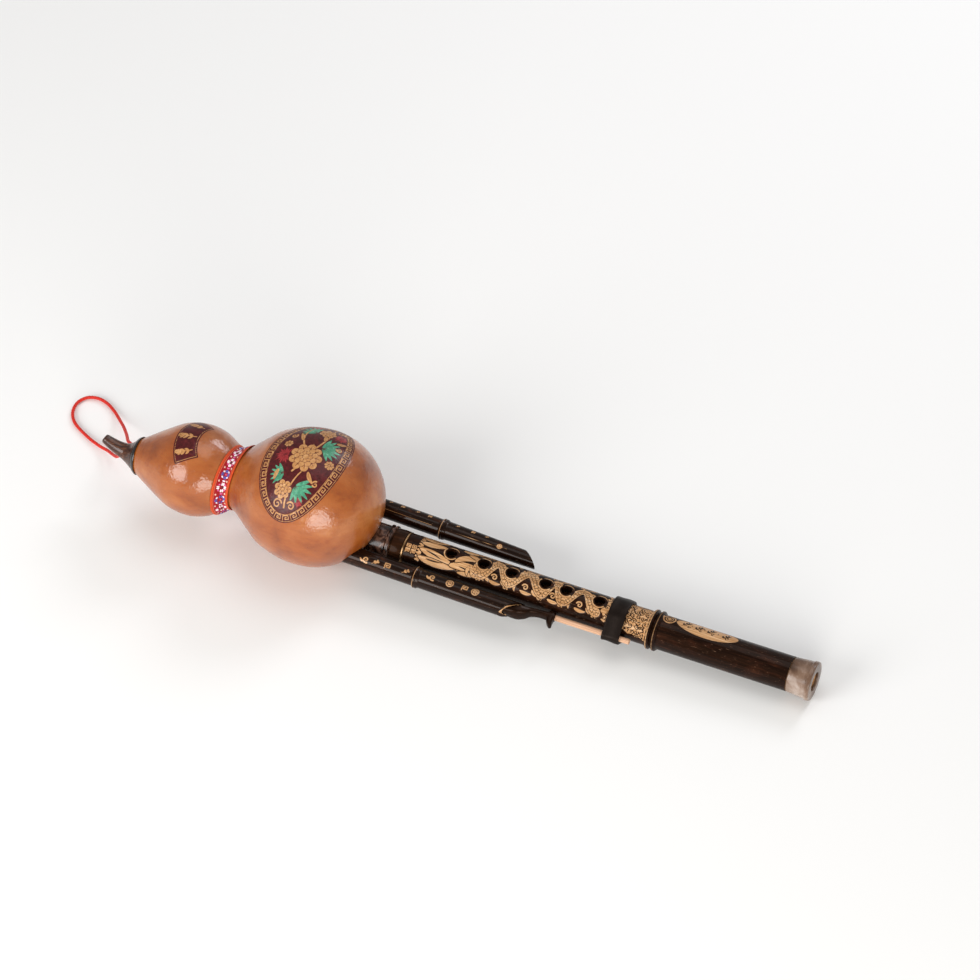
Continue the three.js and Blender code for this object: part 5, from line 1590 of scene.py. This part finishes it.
for along, across, heading, length, colour in stitches:
    at, out = ribbonPoint(along, across, lift)
    ahead = ribbonPoint(along + 0.02, across, lift)[0] - at
    ahead = Vector(ahead - out * (ahead @ out)).normalized()
    out = Vector(out)
    way = ahead * math.cos(heading) - out.cross(ahead) * math.sin(heading)
    turn = Matrix((way, out.cross(way), out)).transposed()
    points.append(tuple(at))
    turns.append(tuple((gourdPlace.to_3x3() @ turn).to_euler()))
    sizes.append((length / flowers["stitchWidth"], 1,
                  flowers["stitchHeight"] / flowers["stitchWidth"]))
    colours.append(linear(colour))
stitchPoints = meshObject("stitchPoints", points, [], gourdPlace)
writeField(stitchPoints, "turn", turns)
writeField(stitchPoints, "size", sizes)
writeField(stitchPoints, "stitchColour", colours)
embroidery = newObject("ribbonFlowers")
runTree(embroidery, stitchTree(), {
    "Points": stitchPoints, "Stitch Radius": flowers["stitchWidth"] / 2 * mm, "Finish": floss})
bpy.data.objects.remove(stitchPoints)
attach(embroidery, "gourd_body")
print("stage: ribbon and its", len(stitches), "stitches")

# Knot: the cord wound into a small ball on the back of the stem
knot = {"centre": (-203.4, -0.7, 30.1), "size": 0.5, "depth": 1.4, "cordRadius": 0.95}
knotPath = [
    Vector(knot["centre"]) + knot["size"] * Vector((
        math.sin(a) + 2 * math.sin(2 * a), math.cos(a) - 2 * math.cos(2 * a),
        -math.sin(3 * a) * knot["depth"]))
    for a in evenAngles(96)]
knotRings = [circleRing(knot["cordRadius"], 14)] * len(knotPath)
knotPiece = sweep("cordKnot", knotPath, knotRings, asItLies, redCord)
fluteParts.append((knotPiece, "gourd_body", "cord_knot", "cord"))

fluteParts.append((gourd, "gourd_body", "gourd_shell", "gourd_lacquer"))
fluteParts.append((pipe, "main_pipe_body", "main_pipe", "main_bamboo"))
for piece, body, node, slotName in fluteParts:
    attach(piece, body)
    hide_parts(node)

# The inner pieces stay as the CAD has them, in their own finishes
innerFinishes = {
    reedBrass: ("main_reed", "near_reed", "far_reed"),
    brownWax: ("main_reed_wax", "near_reed_wax", "far_reed_wax"),
    palePlug: ("main_end_plug", "near_end_plug", "far_end_plug"),
    bedWax: ("pipe_bed",),
}
for finish, nodes in innerFinishes.items():
    for node in nodes:
        for slot in frame["nodes"][node].material_slots:
            slot.material = finish

# Floor, light and world
floorFinish = bpy.data.materials.new("paleStudioFloor")
floorFinish.use_nodes = True
floorSurface = floorFinish.node_tree.nodes["Principled BSDF"].inputs
floorSurface["Base Color"].default_value = linear("#f3f2f0")
floorSurface["Roughness"].default_value = 0.9
floorHalf, floorTop = 6000, -0.2
floorCorners = [(-1, -1), (1, -1), (1, 1), (-1, 1)]
floor = meshObject("floor", [(x * floorHalf, y * floorHalf, floorTop) for x, y in floorCorners],
                   [(0, 1, 2, 3)])
floor.data.materials.append(floorFinish)
lights = [  # place and aim in mm, size in metres, power in watts, colour
    ((650, -1250, 230), (0, 0, 30), 0.96, 16, "#fffdf8"),
    ((-700, -1130, 680), (-60, 0, 30), 0.9, 13.5, "#ffffff"),
    ((330, 1150, 930), (0, 0, 30), 0.6, 6, "#f6f8ff"),
    ((150, 500, 1900), (0, 0, 0), 1.5, 8, "#ffffff"),
]
for i, (place, aim, size, power, colour) in enumerate(lights):
    lamp = bpy.data.lights.new(f"softLight{i}", "AREA")
    lamp.shape = "DISK"
    lamp.size = size
    lamp.energy = power
    lamp.color = linear(colour)[:3]
    towards = (Vector(aim) - Vector(place)).to_track_quat("-Z", "Y")
    newObject(f"softLight{i}", lamp).matrix_world = shift(*place) @ towards.to_matrix().to_4x4()
world = bpy.data.worlds.new("paleStudio")
world.use_nodes = True
worldLight = world.node_tree.nodes["Background"].inputs
worldLight["Color"].default_value = linear("#f4f4f4")
worldLight["Strength"].default_value = 0.45
scene.world = world
scene.view_settings.view_transform = "Standard"
